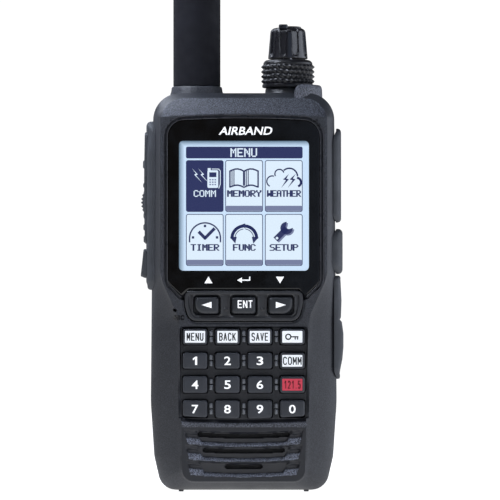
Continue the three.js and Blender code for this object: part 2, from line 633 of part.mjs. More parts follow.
add("battery_lid", batteryLid(), MATERIAL.case);
add("battery_cell_lower", batteryCell(13, 56.5), MATERIAL.cell);
add("battery_cell_upper", batteryCell(57.5, 101), MATERIAL.cell);
add("battery_latch", batteryLatch(), MATERIAL.knob);
add("clip_bracket", clipBracket(), MATERIAL.knob);
add("clip_tongue", clipTongue(), MATERIAL.knob);
add("clip_pin", clipPin(), MATERIAL.steel);
add("clip_spring", clipSpring(), MATERIAL.steel);
CLIP_SCREWS.forEach((place, i) => add(`clip_screw_${i + 1}`, clipScrew(place), MATERIAL.steel));

const radio = new THREE.Group();
radio.add(model);
export default radio;
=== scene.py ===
# The looks of a handheld airband radio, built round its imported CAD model. Shapes are worked out in
# millimetres as (x, depth, z): x to the right, depth backwards from the front panel, z up from the feet.
import math

import bmesh
import bpy
import numpy as np
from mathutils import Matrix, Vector

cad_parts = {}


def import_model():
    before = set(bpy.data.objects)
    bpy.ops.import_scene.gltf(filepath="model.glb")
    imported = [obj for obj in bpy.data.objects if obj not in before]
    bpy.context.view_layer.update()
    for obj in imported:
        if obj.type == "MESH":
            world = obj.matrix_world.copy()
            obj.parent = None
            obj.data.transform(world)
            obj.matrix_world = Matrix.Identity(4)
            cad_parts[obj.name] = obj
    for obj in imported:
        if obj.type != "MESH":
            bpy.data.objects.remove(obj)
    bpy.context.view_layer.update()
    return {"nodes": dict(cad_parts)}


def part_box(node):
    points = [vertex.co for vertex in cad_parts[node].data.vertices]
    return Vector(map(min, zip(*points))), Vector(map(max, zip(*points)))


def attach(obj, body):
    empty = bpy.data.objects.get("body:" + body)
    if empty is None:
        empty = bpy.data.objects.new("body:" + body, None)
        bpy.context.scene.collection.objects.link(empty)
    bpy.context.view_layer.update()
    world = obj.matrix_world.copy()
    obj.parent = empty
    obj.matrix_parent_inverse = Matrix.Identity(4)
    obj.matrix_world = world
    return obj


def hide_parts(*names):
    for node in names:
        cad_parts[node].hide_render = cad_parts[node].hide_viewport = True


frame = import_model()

MM = 0.001
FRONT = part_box("front_case")[0][1] / MM  # Y of the front panel
ROOT = "radio_body"


def span(node):
    """A CAD node's box as (x0, depth0, z0), (x1, depth1, z1)."""
    low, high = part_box(node)
    return tuple((p[0] / MM, p[1] / MM - FRONT, p[2] / MM) for p in (low, high))


# ---------------------------------------------------------------- driving dimensions
BASE, TOP = 0.6, 133.6  # underside and top of the case
SEAM, TOP_SEAM = 18.0, 26.5  # depth of the seam between the cases, below and above the battery bay
BAY_TOP = 106.7
BACK = span("battery_case")[1][1]
PANEL_TOP = 131.8
CHIN_BOTTOM, CHIN_SLOPE, CHIN_ARCH = 125.4, 1.5, 1.1
SIDE_DEPTH = 6.6  # depth at which the sides start
COLUMNS = [-16.2, -5.4, 5.4, 16.2]
ROWS = [(52.1, 5.3), (44.1, 5.4), (36.15, 5.6), (28.0, 5.8)]
KEY_WIDTH = 8.2
NAV_Z, NAV_PITCH, NAV_WIDTH, NAV_HEIGHT = 62.5, 12.3, 8.3, 5.8
KEY_NAMES = [
    ["key_menu", "key_back", "key_save", "key_lock"],
    ["key_1", "key_2", "key_3", "key_comm"],
    ["key_4", "key_5", "key_6", "key_emergency"],
    ["key_7", "key_8", "key_9", "key_0"],
]


# ---------------------------------------------------------------- materials
def srgb(r, g, b):
    """An 8-bit screen colour as linear values."""
    return tuple(((c / 255 + 0.055) / 1.055) ** 2.4 for c in (r, g, b)) + (1.0,)


class Shader:
    """A Principled material and the few nodes that its pattern needs."""

    def __init__(self, name, color, roughness=0.5, metallic=0.0, **sockets):
        self.material = bpy.data.materials.new(name)
        self.material.use_nodes = True
        self.tree = self.material.node_tree
        self.sockets = self.tree.nodes["Principled BSDF"].inputs
        self.color, self.roughness = color, roughness
        self.coordinates = self.node("TexCoord", {}).outputs["Object"]
        self.normal = None
        self.sockets["Base Color"].default_value = color
        self.sockets["Roughness"].default_value = roughness
        self.sockets["Metallic"].default_value = metallic
        for key, value in sockets.items():
            self.sockets[key.replace("_", " ")].default_value = value

    def node(self, kind, inputs, **settings):
        """A shader node with its settings, and each of its inputs set to a value or linked to an output."""
        made = self.tree.nodes.new("ShaderNode" + kind)
        for key, value in settings.items():
            setattr(made, key, value)
        for key, value in inputs.items():
            if isinstance(value, bpy.types.NodeSocket):
                self.tree.links.new(value, made.inputs[key])
            else:
                made.inputs[key].default_value = value
        return made

    def noise(self, size_mm, detail=2.0, roughness=0.5, stretch=None):
        """A noise pattern with features of about size_mm."""
        source = self.coordinates
        if stretch:
            source = self.node("Mapping", {"Vector": source, "Scale": stretch}).outputs["Vector"]
        inputs = {"Vector": source, "Scale": 1 / (size_mm * MM), "Detail": detail, "Roughness": roughness}
        return self.node("TexNoise", inputs).outputs["Fac"]

    def ramp(self, source, low, high, start=0.0, end=1.0):
        inputs = {"Value": source, "From Min": start, "From Max": end, "To Min": low, "To Max": high}
        return self.node("MapRange", inputs).outputs["Result"]

    def math(self, operation, a, b):
        return self.node("Math", {0: a, 1: b}, operation=operation).outputs[0]

    def mix(self, factor, first, second):
        """A mix of two colours."""
        made = self.node("Mix", {"Factor": factor}, data_type="RGBA")
        a, b = [s for s in made.inputs if s.type == "RGBA"]
        b.default_value = second
        if isinstance(first, bpy.types.NodeSocket):
            self.tree.links.new(first, a)
        else:
            a.default_value = first
        return next(s for s in made.outputs if s.type == "RGBA")

    def vary_color(self, source, other, start, end):
        """Mixes the colour so far towards another where the pattern is high."""
        self.color = self.mix(self.ramp(source, 0, 1, start, end), self.color, other)
        self.tree.links.new(self.color, self.sockets["Base Color"])

    def vary_roughness(self, source, amount):
        level = self.ramp(source, self.roughness - amount, self.roughness + amount, 0.3, 0.7)
        self.tree.links.new(level, self.sockets["Roughness"])

    def bump(self, height, depth_mm, mask=None):
        """Adds relief: the pattern's height from 0 to 1 stands for depth_mm."""
        height = self.math("MULTIPLY", height, mask) if mask else height
        inputs = {"Height": height, "Distance": depth_mm * MM}
        if self.normal:
            inputs["Normal"] = self.normal
        self.normal = self.node("Bump", inputs).outputs["Normal"]
        self.tree.links.new(self.normal, self.sockets["Normal"])


def tinted(color, *factors):
    """The colour times one factor, or times one factor for each of its parts."""
    factors = factors if len(factors) == 3 else factors * 3
    return tuple(min(1.0, c * f) for c, f in zip(color, factors)) + (1.0,)


def grained_plastic(name, color, speck, masked=False):
    """Moulded plastic with an eroded texture, whose specks are lighter than the colour by the factor speck.

    If masked, a point attribute says how much of the specks show; on the front case it also carries a painted
    highlight on the ramps, the ledge and the chin. Where it is negative, the plastic is darker: a painted
    shade.
    """
    s = Shader(name, color)
    mask = s.node("Attribute", {}, attribute_name="grain_and_painted_light").outputs["Fac"] if masked else None
    s.bump(s.noise(GRAIN_MM, 3, 0.6), GRAIN_RELIEF_MM, mask)
    s.bump(s.noise(4.0, 2), 0.02)
    specks = s.ramp(s.noise(GRAIN_MM * 0.9, 2, 0.5), 0, 1, 0.44, 0.60)
    if masked:
        # painted shade: where the attribute is negative, the colour is darkened towards a deep blue-grey
        s.vary_color(s.ramp(mask, 1, 0, -0.5, 0.0), tinted(color, 0.36, 0.38, 0.55), 0, 1)
        # the attribute scales the light specks: grain, and on the ramps, ledge and chin a painted highlight
        specks = s.math("MULTIPLY", specks, mask)
    s.vary_color(specks, tinted(color, speck), 0, 1)
    s.vary_roughness(s.noise(9.0, 3), 0.06)
    return s.material


def rubbery(name, color, roughness=0.7, relief_mm=0.02, shine=0.5):
    s = Shader(name, color, roughness, Specular_IOR_Level=shine)
    s.bump(s.noise(0.35, 3), relief_mm)
    s.vary_color(s.noise(6.0, 4), tinted(color, 1.35), 0.4, 0.75)
    s.vary_roughness(s.noise(2.5, 3), 0.07)
    return s.material


def satin_plastic(name, color, roughness=0.35, coat=0.0):
    s = Shader(name, color, roughness, Coat_Weight=coat, Coat_Roughness=0.08)
    s.bump(s.noise(0.5, 2), 0.004)
    s.vary_roughness(s.noise(5.0, 4), 0.06)
    return s.material


def plated(name, color, roughness=0.3):
    s = Shader(name, color, roughness, 1.0)
    s.bump(s.noise(0.4, 2, 0.5, (1, 1, 0.08)), 0.004)
    s.vary_roughness(s.noise(3.0, 4), 0.1)
    return s.material


# the glow makes the print shine though it is no lamp: a painted glow
def printed(name, color, painted_glow=0.0):
    s = Shader(name, color, 0.45, Emission_Color=color, Emission_Strength=painted_glow)
    s.vary_color(s.noise(0.8, 3), tinted(color, 0.85), 0.5, 0.8)
    return s.material


GRAIN_MM, GRAIN_RELIEF_MM = 0.3, 0.08
CASE_COLOR = (0.0145, 0.0158, 0.020, 1)
# specks up to 16 times its colour: grain, and on the ramps, ledge and chin a painted highlight
CASE = grained_plastic("case_plastic", CASE_COLOR, 16.0, masked=True)
REAR = grained_plastic("rear_plastic", (0.016, 0.0165, 0.020, 1), 1.6)
CASE_GRAIN = grained_plastic("case_grain", CASE_COLOR, 3.0)
# lighter and more specked than the case's plastic: a painted highlight on the knob guard
GUARD_GRAIN_PAINTED_HIGHLIGHT = grained_plastic("guard_grain_and_painted_highlight", (0.022, 0.0235, 0.029, 1), 8.0)
# light grey: a painted highlight on the ribs between the keys
RIB_PAINTED_HIGHLIGHT = satin_plastic("rib_satin_painted_highlight", (0.15, 0.16, 0.18, 1), 0.3)
GLASS = satin_plastic("window_gloss", (0.0015, 0.0010, 0.0008, 1), 0.13)
TRIM = satin_plastic("trim_satin", (0.026, 0.027, 0.031, 1), 0.38)
KEY = rubbery("key_rubber", (0.022, 0.025, 0.033, 1), 0.5, 0.008)
NAV_KEY = rubbery("nav_key_rubber", (0.018, 0.020, 0.025, 1), 0.42, 0.006)
# white, label and red print glow: a painted glow
WHITE = printed("legend_white", (0.88, 0.89, 0.90, 1), painted_glow=0.45)
LABEL = printed("label_white", (0.80, 0.83, 0.86, 1), painted_glow=0.35)
RED = printed("label_red", (0.52, 0.035, 0.065, 1), painted_glow=0.25)
INK = printed("legend_ink", (0.012, 0.014, 0.020, 1))
DARK_RED = printed("legend_dark_red", (0.20, 0.008, 0.016, 1))
KNOB = satin_plastic("knob_gloss", (0.007, 0.007, 0.010, 1), 0.28, coat=0.4)
RING = satin_plastic("ring_satin", (0.0042, 0.0042, 0.0065, 1), 0.34)
ANTENNA = rubbery("antenna_rubber", (0.0048, 0.005, 0.008, 1), 0.75, 0.01, 0.2)
JACK_METAL = plated("jack_metal", (0.45, 0.44, 0.42, 1), 0.35)
FRAME = satin_plastic("frame_satin", (0.045, 0.045, 0.052, 1), 0.3)
SIDE = rubbery("side_rubber", (0.036, 0.040, 0.048, 1), 0.62, 0.015)
HARD_BLACK = satin_plastic("hardware_black", (0.018, 0.018, 0.021, 1), 0.42)
STEEL = plated("plated_steel", (0.62, 0.62, 0.64, 1))
BLACK_STEEL = plated("black_steel", (0.09, 0.09, 0.10, 1), 0.4)
BRASS = plated("plated_brass", (0.78, 0.60, 0.28, 1))
SILICONE = rubbery("silicone", (0.018, 0.020, 0.024, 1), 0.6)
BOARD = satin_plastic("solder_mask", (0.012, 0.10, 0.035, 1), 0.4)
CELL = satin_plastic("cell_wrap", (0.03, 0.10, 0.30, 1), 0.35)
CLOTH = rubbery("acoustic_mesh", (0.006, 0.006, 0.007, 1), 0.9, 0.05)


# ---------------------------------------------------------------- shapes
def rounded(corners, inset=0.0, steps=6):
    """A closed outline: corners [x, y, radius] in order, each turned into an arc, moved inwards by inset."""
    area = sum(a[0] * b[1] - b[0] * a[1] for a, b in zip(corners, corners[1:] + corners[:1]))
    turn = 1.0 if area > 0 else -1.0
    points = []
    for i, (x, y, radius) in enumerate(corners):
        here = Vector((x, y))
        back = (Vector(corners[i - 1][:2]) - here).normalized()
        ahead = (Vector(corners[(i + 1) % len(corners)][:2]) - here).normalized()
        half = math.acos(max(-1.0, min(1.0, back.dot(ahead)))) / 2
        middle = (back + ahead).normalized()
        convex = (ahead.x * back.y - ahead.y * back.x) * turn > 0
        side = 1.0 if convex else -1.0
        here = here + middle * (side * inset / math.sin(half))
        radius = max(radius - side * inset, 0.02)
        centre = here + middle * (radius / math.sin(half))
        start = here + back * (radius / math.tan(half)) - centre
        sweep = (math.pi - 2 * half) * (turn if convex else -turn)
        for k in range(steps + 1):
            c, s = math.cos(sweep * k / steps), math.sin(sweep * k / steps)
            points.append((centre.x + start.x * c - start.y * s, centre.y + start.x * s + start.y * c))
    return points


def mirrored(right):
    return right + [(-x, z, r) for x, z, r in reversed(right)]


def rectangle(x0, z0, x1, z1, radius):
    return [(x0, z0, radius), (x1, z0, radius), (x1, z1, radius), (x0, z1, radius)]


def strip_faces(rings, size, closed=True):
    faces = []
    for r in range(rings - 1):
        for i in range(size if closed else size - 1):
            j = (i + 1) % size
            faces.append((r * size + i, r * size + j, (r + 1) * size + j, (r + 1) * size + i))
    return faces


def lofted(rings, caps=True):
    """A skin through closed rings of equal length, with flat ends, or with its ends joined to each other."""
    size = len(rings[0])
    last = (len(rings) - 1) * size
    points = [p for ring in rings for p in ring]
    faces = strip_faces(len(rings), size)
    if caps:
        faces += [tuple(range(size)), tuple(range(last, last + size))]
    else:
        faces += [(last + i, last + (i + 1) % size, (i + 1) % size, i) for i in range(size)]
    return points, faces


def in_panel(outline, depth):
    return [(x, depth, z) for x, z in outline]


def in_side(outline, x):
    return [(x, d, z) for d, z in outline]


def in_plan(outline, z):
    return [(x, d, z) for x, d in outline]


def cushion(corners, place, near, far, edge=0.4):
    """A plate between two levels of an axis, rounded at near. place is in_panel, in_side or in_plan."""
    toward = 1.0 if far > near else -1.0
    rings = []
    for k in range(5):
        a = math.pi / 2 * k / 4
        level = near + toward * edge * (1 - math.cos(a))
        rings.append(place(rounded(corners, edge * (1 - math.sin(a))), level))
    return lofted(rings + [place(rounded(corners), far)])


def grid_border(rows, columns):
    """The indices of a grid's outermost points, in order."""
    last_row, last_column = (rows - 1) * columns, columns - 1
    border = [r * columns for r in range(rows)] + [last_row + c for c in range(1, columns)]
    border += [r * columns + last_column for r in range(rows - 2, -1, -1)]
    return border + list(range(columns - 2, 0, -1))


def extended(points, faces, ring, added):
    """Adds a further ring of points and the band of faces that joins it to the last one."""
    new = list(range(len(points), len(points) + len(added)))
    points += added
    for k in range(len(ring)):
        j = (k + 1) % len(ring)
        faces.append((ring[k], ring[j], new[j], new[k]))
    return new


def merged(*shapes):
    points, faces = [], []
    for p, f in shapes:
        base = len(points)
        points += list(p)
        faces += [tuple(base + i for i in face) for face in f]
    return points, faces


def piece(name, body, shape, material, node=None, sharp=32, grain_and_painted_light=None):
    """Makes a Blender object from a shape in millimetres, lets it ride on a body and stand for a CAD node."""
    points, faces = shape
    mesh = bpy.data.meshes.new(name)
    mesh.from_pydata([(x * MM, (FRONT + d) * MM, z * MM) for x, d, z in points], [], faces)
    for m in material if isinstance(material, list) else [material]:
        mesh.materials.append(m)
    # the point attribute carries grain, and on the front case painted shade and painted highlight as well
    if grain_and_painted_light is not None:
        layer = mesh.attributes.new("grain_and_painted_light", "FLOAT", "POINT")
        layer.data.foreach_set("value", np.asarray(grain_and_painted_light, dtype=np.float32))
    bm = bmesh.new()
    bm.from_mesh(mesh)
    bmesh.ops.recalc_face_normals(bm, faces=bm.faces)
    for face in bm.faces:
        face.smooth = True
    for edge in bm.edges:
        edge.smooth = edge.calc_face_angle(0.0) < math.radians(sharp)
    bm.to_mesh(mesh)
    bm.free()
    thing = bpy.data.objects.new(name, mesh)
    bpy.context.scene.collection.objects.link(thing)
    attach(thing, body)
    if node:
        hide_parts(node)
    return thing


# ---------------------------------------------------------------- front case
TOP_RADIUS, FOOT_RADIUS = 9, 6
CASE_OUTLINE = mirrored([(30.3, TOP, TOP_RADIUS), (31.15, 30, 60), (30.0, 12, 12), (27.4, BASE, FOOT_RADIUS)])
PANEL_OUTLINE = mirrored([(27.8, PANEL_TOP, 7.5), (27.8, 72, 12), (21.6, 58, 14), (20.4, 3.8, 4)])
WINDOW_OUTLINE = mirrored([(25.3, 124.0, 5), (25.3, 70.1, 2.5), (20.6, 65.3, 1.5)])


def smooth(t):
    t = np.clip(t, 0.0, 1.0)
    return t * t * (3 - 2 * t)


def half_width(corners, z):
    """Half width of a mirrored outline at the heights z."""
    points = [p for p in rounded(corners, 0.0, 16) if p[0] >= 0]
    points.sort(key=lambda p: p[1])
    return np.interp(z, [p[1] for p in points], [p[0] for p in points])


def rect_distance(x, z, cx, cz, half_w, half_h, radius):
    """Signed distance to a rounded rectangle, negative inside."""
    dx, dz = np.abs(x - cx) - half_w + radius, np.abs(z - cz) - half_h + radius
    return np.hypot(np.maximum(dx, 0), np.maximum(dz, 0)) + np.minimum(np.maximum(dx, dz), 0) - radius


def polygon_distance(x, z, outline):
    """Signed distance to a closed polygon, negative inside."""
    best = np.full(x.shape, 1e9)
    inside = np.zeros(x.shape, dtype=bool)
    for (x0, z0), (x1, z1) in zip(outline, outline[1:] + outline[:1]):
        ex, ez = x1 - x0, z1 - z0
        length = ex * ex + ez * ez
        if length < 1e-12:
            continue
        t = np.clip(((x - x0) * ex + (z - z0) * ez) / length, 0, 1)
        best = np.minimum(best, np.hypot(x - x0 - t * ex, z - z0 - t * ez))
        if abs(ez) > 1e-12:
            crosses = (z0 > z) != (z1 > z)
            inside ^= crosses & (x < x0 + (z - z0) * ex / ez)
    return np.where(inside, -best, best)


def sink(depth, distance, floor, wall=0.25):
    """Lowers the surface to a floor inside a shape, with a wall of the given width."""
    k = smooth(-distance / wall)
    return depth * (1 - k) + floor * k


def lines(required, low, high, pitch):
    """Sorted grid lines through the required values, no further apart than the pitch."""
    marks = sorted(set(round(v, 4) for v in list(required) + [low, high] if low <= v <= high))
    kept = [marks[0]]
    for m in marks[1:]:
        if m - kept[-1] > 0.04:
            kept.append(m)
    out = [kept[0]]
    for a, b in zip(kept, kept[1:]):
        step = pitch(0.5 * (a + b))
        count = max(1, math.ceil((b - a) / step - 1e-6))
        out += [a + (b - a) * k / count for k in range(1, count + 1)]
    return np.array(out)


# each louvre's upper edge in the middle, its height, its half width at the top and its slot's half width
LOUVRES = [(20.2, 4.75, 20.2, 15.4), (15.1, 4.75, 19.7, 13.6), (10.0, 4.75, 19.2, 6.2)]
SMILE = 0.0026  # how the louvres curve upwards towards the sides, per mm
FRAME_WIDTH = 1.45  # of the moulded frame round the window
# depths of what is sunk into the front
WINDOW_SEAT, LCD_POCKET, NAV_POCKET = 1.9, 5.8, 2.6
KEYPAD_RECESS, KEY_OPENING, LOUVRE_SLOT = 1.3, 4.2, 4.6
MICROPHONE_HOLE = (-22.9, 60.9)
KEY_GAP = 0.28  # round each key


def window_arch(x, z):
    """How far the window's upper edge is raised, most in the middle."""
    return 0.9 * (1 - (x / 25.3) ** 2) * np.clip((z - 117.5) / 6, 0, 1)


def chin(x, z):
    """Depth of the sloped chin above the window, which starts with a small ledge."""
    depth = np.maximum(0, (z - CHIN_BOTTOM - CHIN_ARCH * (1 - (x / 27) ** 2)) / CHIN_SLOPE)
    return np.where(depth > 0, depth + 0.9 * (x / 27) ** 2 * smooth(depth / 2), 0)


def sunk_window(depth, x, z):
    """The seat of the window and its frame, and the display's pocket."""
    seat = polygon_distance(x, z - window_arch(x, z), rounded(WINDOW_OUTLINE, -FRAME_WIDTH + 0.45, 8))
    depth = sink(depth, seat, WINDOW_SEAT, 0.2)
    return sink(depth, rect_distance(x, z, 0, 96, 23, 23, 1), LCD_POCKET, 0.3)


def sunk_nav_keys(depth, x, z):
    """The pocket of the navigation keys, with a lower rim round it."""
    pod = rounded(mirrored([(19.95, 67.65, 2.0), (19.95, 62.5, 4), (18.35, 57.05, 3.6)]), 0, 8)
    distance = polygon_distance(x, z, pod)
    depth = depth + 0.35 * smooth(1 - np.abs(distance - 0.25) / 0.5)
    return sink(depth, distance, NAV_POCKET, 0.15)


def sunk_keypad(depth, x, z, climb, shelf):
    """The ledge under the keypad, the keypad's recess and the keys' openings."""
    ledge = np.interp(climb, [0.0, 0.8, 1.7, 3.3], [0.0, -0.55, -0.45, 1.35])
    depth = depth + np.where(z < 25.5, ledge * smooth(-shelf / 0.6), 0)
    depth = sink(depth, rect_distance(x, z, 0, 40.0, 21.4, 15.5, 1.2), KEYPAD_RECESS, 0.45)
    for row, height in ROWS:
        for column in COLUMNS:
            hole = rect_distance(x, z, column, row, KEY_WIDTH / 2 + KEY_GAP, height / 2 + KEY_GAP, 1.0)
            depth = sink(depth, hole, KEY_OPENING, 0.15)
    return depth


def sunk_louvre(depth, painted_highlight, x, z, top, tall, half, slot_half):
    """A notch that is deepest at its slot, with a shallower ear at each end and a ramp below.

    The ramp, taller at the ears, gets a painted highlight.
    """
    v = top + SMILE * x * x - z  # how far below the upper edge
    side = np.abs(x) - half + 0.35 * v
    floor = 1.05 * smooth(v / 0.3) + 0.6 * np.clip((v - 0.3) / (tall - 1.5), 0, 1)
    floor = np.minimum(floor, 1.65 * np.clip((tall - v) / 1.25, 0, 1))
    ear = 0.35 * smooth(v / 0.3) + 0.7 * smooth((v - 1.1) / 0.6)
    ear = np.minimum(ear, 1.05 * np.clip((tall - v) / 2.2, 0, 1))
    share = smooth((np.abs(x) - (half - 4.6 - 0.5 * v)) / 1.0)
    notch = (floor * (1 - share) + ear * share) * smooth(-side / 0.5)
    # painted highlight: where the ramp lies, taller at the ears
    ramp = smooth((v - tall + np.where(share > 0.5, 2.2, 1.2)) / 0.3) * (v < tall) * (side < 0)
    slot = rect_distance(x, v, 0, 1.35, slot_half, 0.7, 0.65)
    return sink(np.maximum(depth, notch), slot, LOUVRE_SLOT, 0.2), np.maximum(painted_highlight, ramp)


def front_relief(x, z):
    """Depth of the front panel below its own face, over x and z, and how much its light specks show.

    The second value also holds a painted shade, where negative, and a painted highlight.
    """
    sloped = chin(x, z)
    depth = sunk_nav_keys(sunk_window(sloped, x, z), x, z)
    climb = z - 21.0 - 0.0012 * x * x
    shelf = rect_distance(x, z, 0, 38.6, 21.0, 16.8, 1.2)
    depth = sunk_keypad(depth, x, z, climb, shelf)
    # painted highlight on the ledge under the keypad
    painted_highlight = 0.45 * smooth(climb / 0.3) * smooth((2.6 - climb) / 0.3) * (shelf < 0)
    for louvre in LOUVRES:
        depth, painted_highlight = sunk_louvre(depth, painted_highlight, x, z, *louvre)
    hole_x, hole_z = MICROPHONE_HOLE
    depth = sink(depth, np.hypot(x - hole_x, z - hole_z) - 0.55, 3.0, 0.25)
    # the chin gets the most light specks, partly grain and partly a painted highlight; the pad round the keys
    # is smooth and darker, a painted shade; the ledge under the keys and the louvres' ramps get a painted
    # highlight
    grain_and_painted_highlight = np.where(sloped > 0, 0.45, 0.12)
    grain_and_painted_highlight = np.where(np.abs(x) > 26.9, 0.2, grain_and_painted_highlight)
    painted_shade = smooth(-rect_distance(x, z, 0, 29.6, 21.3, 25.9, 3.0) / 0.8)
    return depth, grain_and_painted_highlight * (1 - painted_shade) - 0.3 * painted_shade + 1.8 * painted_highlight


def front_surface(x, z):
    """The panel's relief and, outside its outline, the flank that falls away to the case's outline."""
    depth, grain_and_painted_light = front_relief(x, z)
    beyond = polygon_distance(x, z, rounded(PANEL_OUTLINE, 0, 12))
    to_case = -polygon_distance(x, z, rounded(CASE_OUTLINE, 0, 16))
    share = np.clip(beyond / np.maximum(beyond + np.maximum(to_case, 0), 1e-6), 0, 1)
    share = np.where(beyond > 0, share, 0)
    fall = 0.06 * smooth(share / 0.12) + 0.74 * share**1.1 + 0.20 * share**6
    depth = np.where(beyond > 0, depth + (SIDE_DEPTH - depth) * fall, depth)
    return np.minimum(depth, SIDE_DEPTH), np.where(beyond > 0, 0.08, grain_and_painted_light)


def key_edges(centre, size):
    """Grid lines at both edges of a key's opening, and at the foot of its walls."""
    edges = [(centre + side * (size / 2 + KEY_GAP), side) for side in (-1, 1)]
    return [edge - side * wall for edge, side in edges for wall in (0, 0.15)]


def front_rows():
    """The heights of the grid's rows."""
    marks = [24.5, 24.95, 55.5, 55.05, 73, 73.3, 119, 118.7, CHIN_BOTTOM, 67.65, 67.5, PANEL_TOP]
    for row, height in ROWS:
        marks += key_edges(row, height)
    for k in range(15):
        a = math.pi / 2 * k / 14
        marks += [TOP - TOP_RADIUS * (1 - math.sin(a)), BASE + FOOT_RADIUS * (1 - math.cos(a))]

    def pitch(z):
        if 3 < z < 69 or 122 < z < 132.5:
            return 0.25
        return 0.6 if z < 3 or z > 132 else 1.5

    return lines(marks, BASE, TOP, pitch)


def front_case():
    """A grid over the front, whose rows follow the case's own width, then walls back to the seam."""
    zs = front_rows()
    marks = [-23, -22.7, 22.7, 23, -21.4, -20.95, 20.95, 21.4]
    for column in COLUMNS:
        marks += key_edges(column, KEY_WIDTH)
    inner_limit, outer_count, flank_count = 19.6, 26, 12
    inner = lines([m for m in marks if abs(m) < inner_limit], -inner_limit, inner_limit, lambda x: 0.3)
    panel = np.minimum(half_width(PANEL_OUTLINE, np.clip(zs, 3.81, PANEL_TOP - 0.01)), 27.8)
    case = half_width(CASE_OUTLINE, np.clip(zs, BASE + 0.001, TOP - 0.001))
    rows = []
    for edge, limit in zip(panel, case):
        edge = max(min(edge, limit - 1.2), inner_limit + 0.4)
        outer = inner_limit + (edge - inner_limit) * np.arange(1, outer_count + 1) / outer_count
        flank = edge + (limit - edge) * np.arange(1, flank_count + 1) / flank_count
        right = np.concatenate([outer, flank])
        rows.append(np.concatenate([-right[::-1], inner, right]))
    x = np.array(rows)
    z = np.repeat(zs[:, None], x.shape[1], axis=1)
    depth, grain_and_painted_light = front_surface(x, z)
    points = [tuple(map(float, p)) for p in zip(x.ravel(), depth.ravel(), z.ravel())]
    faces = strip_faces(*x.shape, closed=False)
    border = grid_border(*x.shape)
    edge = [points[i] for i in border]

    def seam(z):
        return TOP_SEAM if z > BAY_TOP else SEAM

    def inside(x, z, rim=2.0):
        sx = x - math.copysign(min(rim, abs(x)), x) if abs(x) > 8 else x
        return sx, min(max(z, BASE + rim), TOP - rim)

    # walls back to the seam, a rim, then walls forward to a floor behind the panel
    ring = border
    for share in (0.25, 1.0):
        ring = extended(points, faces, ring, [(x, d + (seam(z) - d) * share, z) for x, d, z in edge])
    floor = 7.6
    for level in (None, floor):
        wall = []
        for i, (x, _, z) in zip(ring, edge):
            sx, sz = inside(x, z)
            wall.append((sx, level or points[i][1], sz))
        ring = extended(points, faces, ring, wall)
    faces.append(tuple(ring))
    # values of the point attribute: grain, painted shade and painted highlight; the walls get a plain 0.12
    grain_and_painted_light_values = list(grain_and_painted_light.ravel()) + [0.12] * (len(points) - grain_and_painted_light.size)
    piece("front_case_shell", ROOT, (points, faces), CASE, "front_case", 40, grain_and_painted_light_values)


front_case()


ARC_MARKS = [1 - math.cos(math.pi / 2 * k / 8) for k in range(9)]


def crossings(outline, levels):
    """Where horizontal lines cross a convex outline: the left and right ends."""
    heights = [p[1] for p in outline]
    levels = np.clip(levels, min(heights) + 1e-6, max(heights) - 1e-6)
    left, right = np.full(len(levels), 1e9), np.full(len(levels), -1e9)
    for (x0, z0), (x1, z1) in zip(outline, outline[1:] + outline[:1]):
        low, high = min(z0, z1), max(z0, z1)
        hit = (levels >= low - 1e-9) & (levels <= high + 1e-9)
        if high - low < 1e-9:
            at = (np.full(len(levels), x0), np.full(len(levels), x1))
        else:
            t = np.clip((levels - z0) / (z1 - z0), 0, 1)
            at = (x0 + (x1 - x0) * t,) * 2
        for value in at:
            left = np.where(hit, np.minimum(left, value), left)
            right = np.where(hit, np.maximum(right, value), right)
    return left, right


def relief_block(side, corners, top, bottom, edge, detail=None, pitch=0.5):
    """A block over a convex outline in (a, b), whose top faces the front, back, left or right.

    Its top rolls over at the edge, and detail(a, b) adds height.
    """
    outline = rounded(corners, 0, 10)
    low, high = min(p[1] for p in outline), max(p[1] for p in outline)
    wanted = []
    for r in (max(c[2] for c in corners), edge):
        wanted += [low + r * m for m in ARC_MARKS] + [high - r * m for m in ARC_MARKS]
    bs = lines(wanted, low, high, lambda b: pitch)
    left, right = crossings(outline, bs)
    count = max(8, math.ceil((right - left).max() / pitch))
    t = np.linspace(0, 1, count + 1)
    t = 0.45 * t + 0.55 * (0.5 - 0.5 * np.cos(math.pi * t))
    a = left[:, None] + (right - left)[:, None] * t[None, :]
    b = np.repeat(bs[:, None], len(t), axis=1)
    inside = np.maximum(-polygon_distance(a, b, outline), 0)
    k = 1 - np.clip(inside / edge, 0, 1)
    height = top - edge * (1 - np.sqrt(np.maximum(0, 1 - k * k)))
    if detail is not None:
        height = height + detail(a, b) * smooth(inside / edge)
    points = [tuple(map(float, p)) for p in zip(a.ravel(), b.ravel(), height.ravel())]
    faces = strip_faces(*a.shape, closed=False)
    border = grid_border(*a.shape)
    faces.append(tuple(extended(points, faces, border, [points[i][:2] + (bottom,) for i in border])))
    turn = {
        "front": lambda a, b, h: (a, -h, b),
        "back": lambda a, b, h: (a, h, b),
        "left": lambda a, b, h: (-h, a, b),
        "right": lambda a, b, h: (h, a, b),
    }[side]
    return [turn(*p) for p in points], faces


def turned(profile, x, depth, sides, radius=None, caps=True):
    """A turned part on an upright axis, from pairs of radius and z. radius(r, z, angle) may change them."""
    rings = []
    for r, z in profile:
        ring = []
        for i in range(sides):
            a = 2 * math.pi * i / sides
            rr = radius(r, z, a) if radius else r
            ring.append((x + rr * math.cos(a), depth + rr * math.sin(a), z))
        rings.append(ring)
    return lofted(rings, caps)


def bent(shape, warp):
    return [warp(*p) for p in shape[0]], shape[1]


def rod(profile, depth, z, sides=24):
    """Rings round a sideways axis, from pairs of x and radius."""
    turn = [2 * math.pi * k / sides for k in range(sides)]
    return [[(x, depth + r * math.cos(a), z + r * math.sin(a)) for a in turn] for x, r in profile]


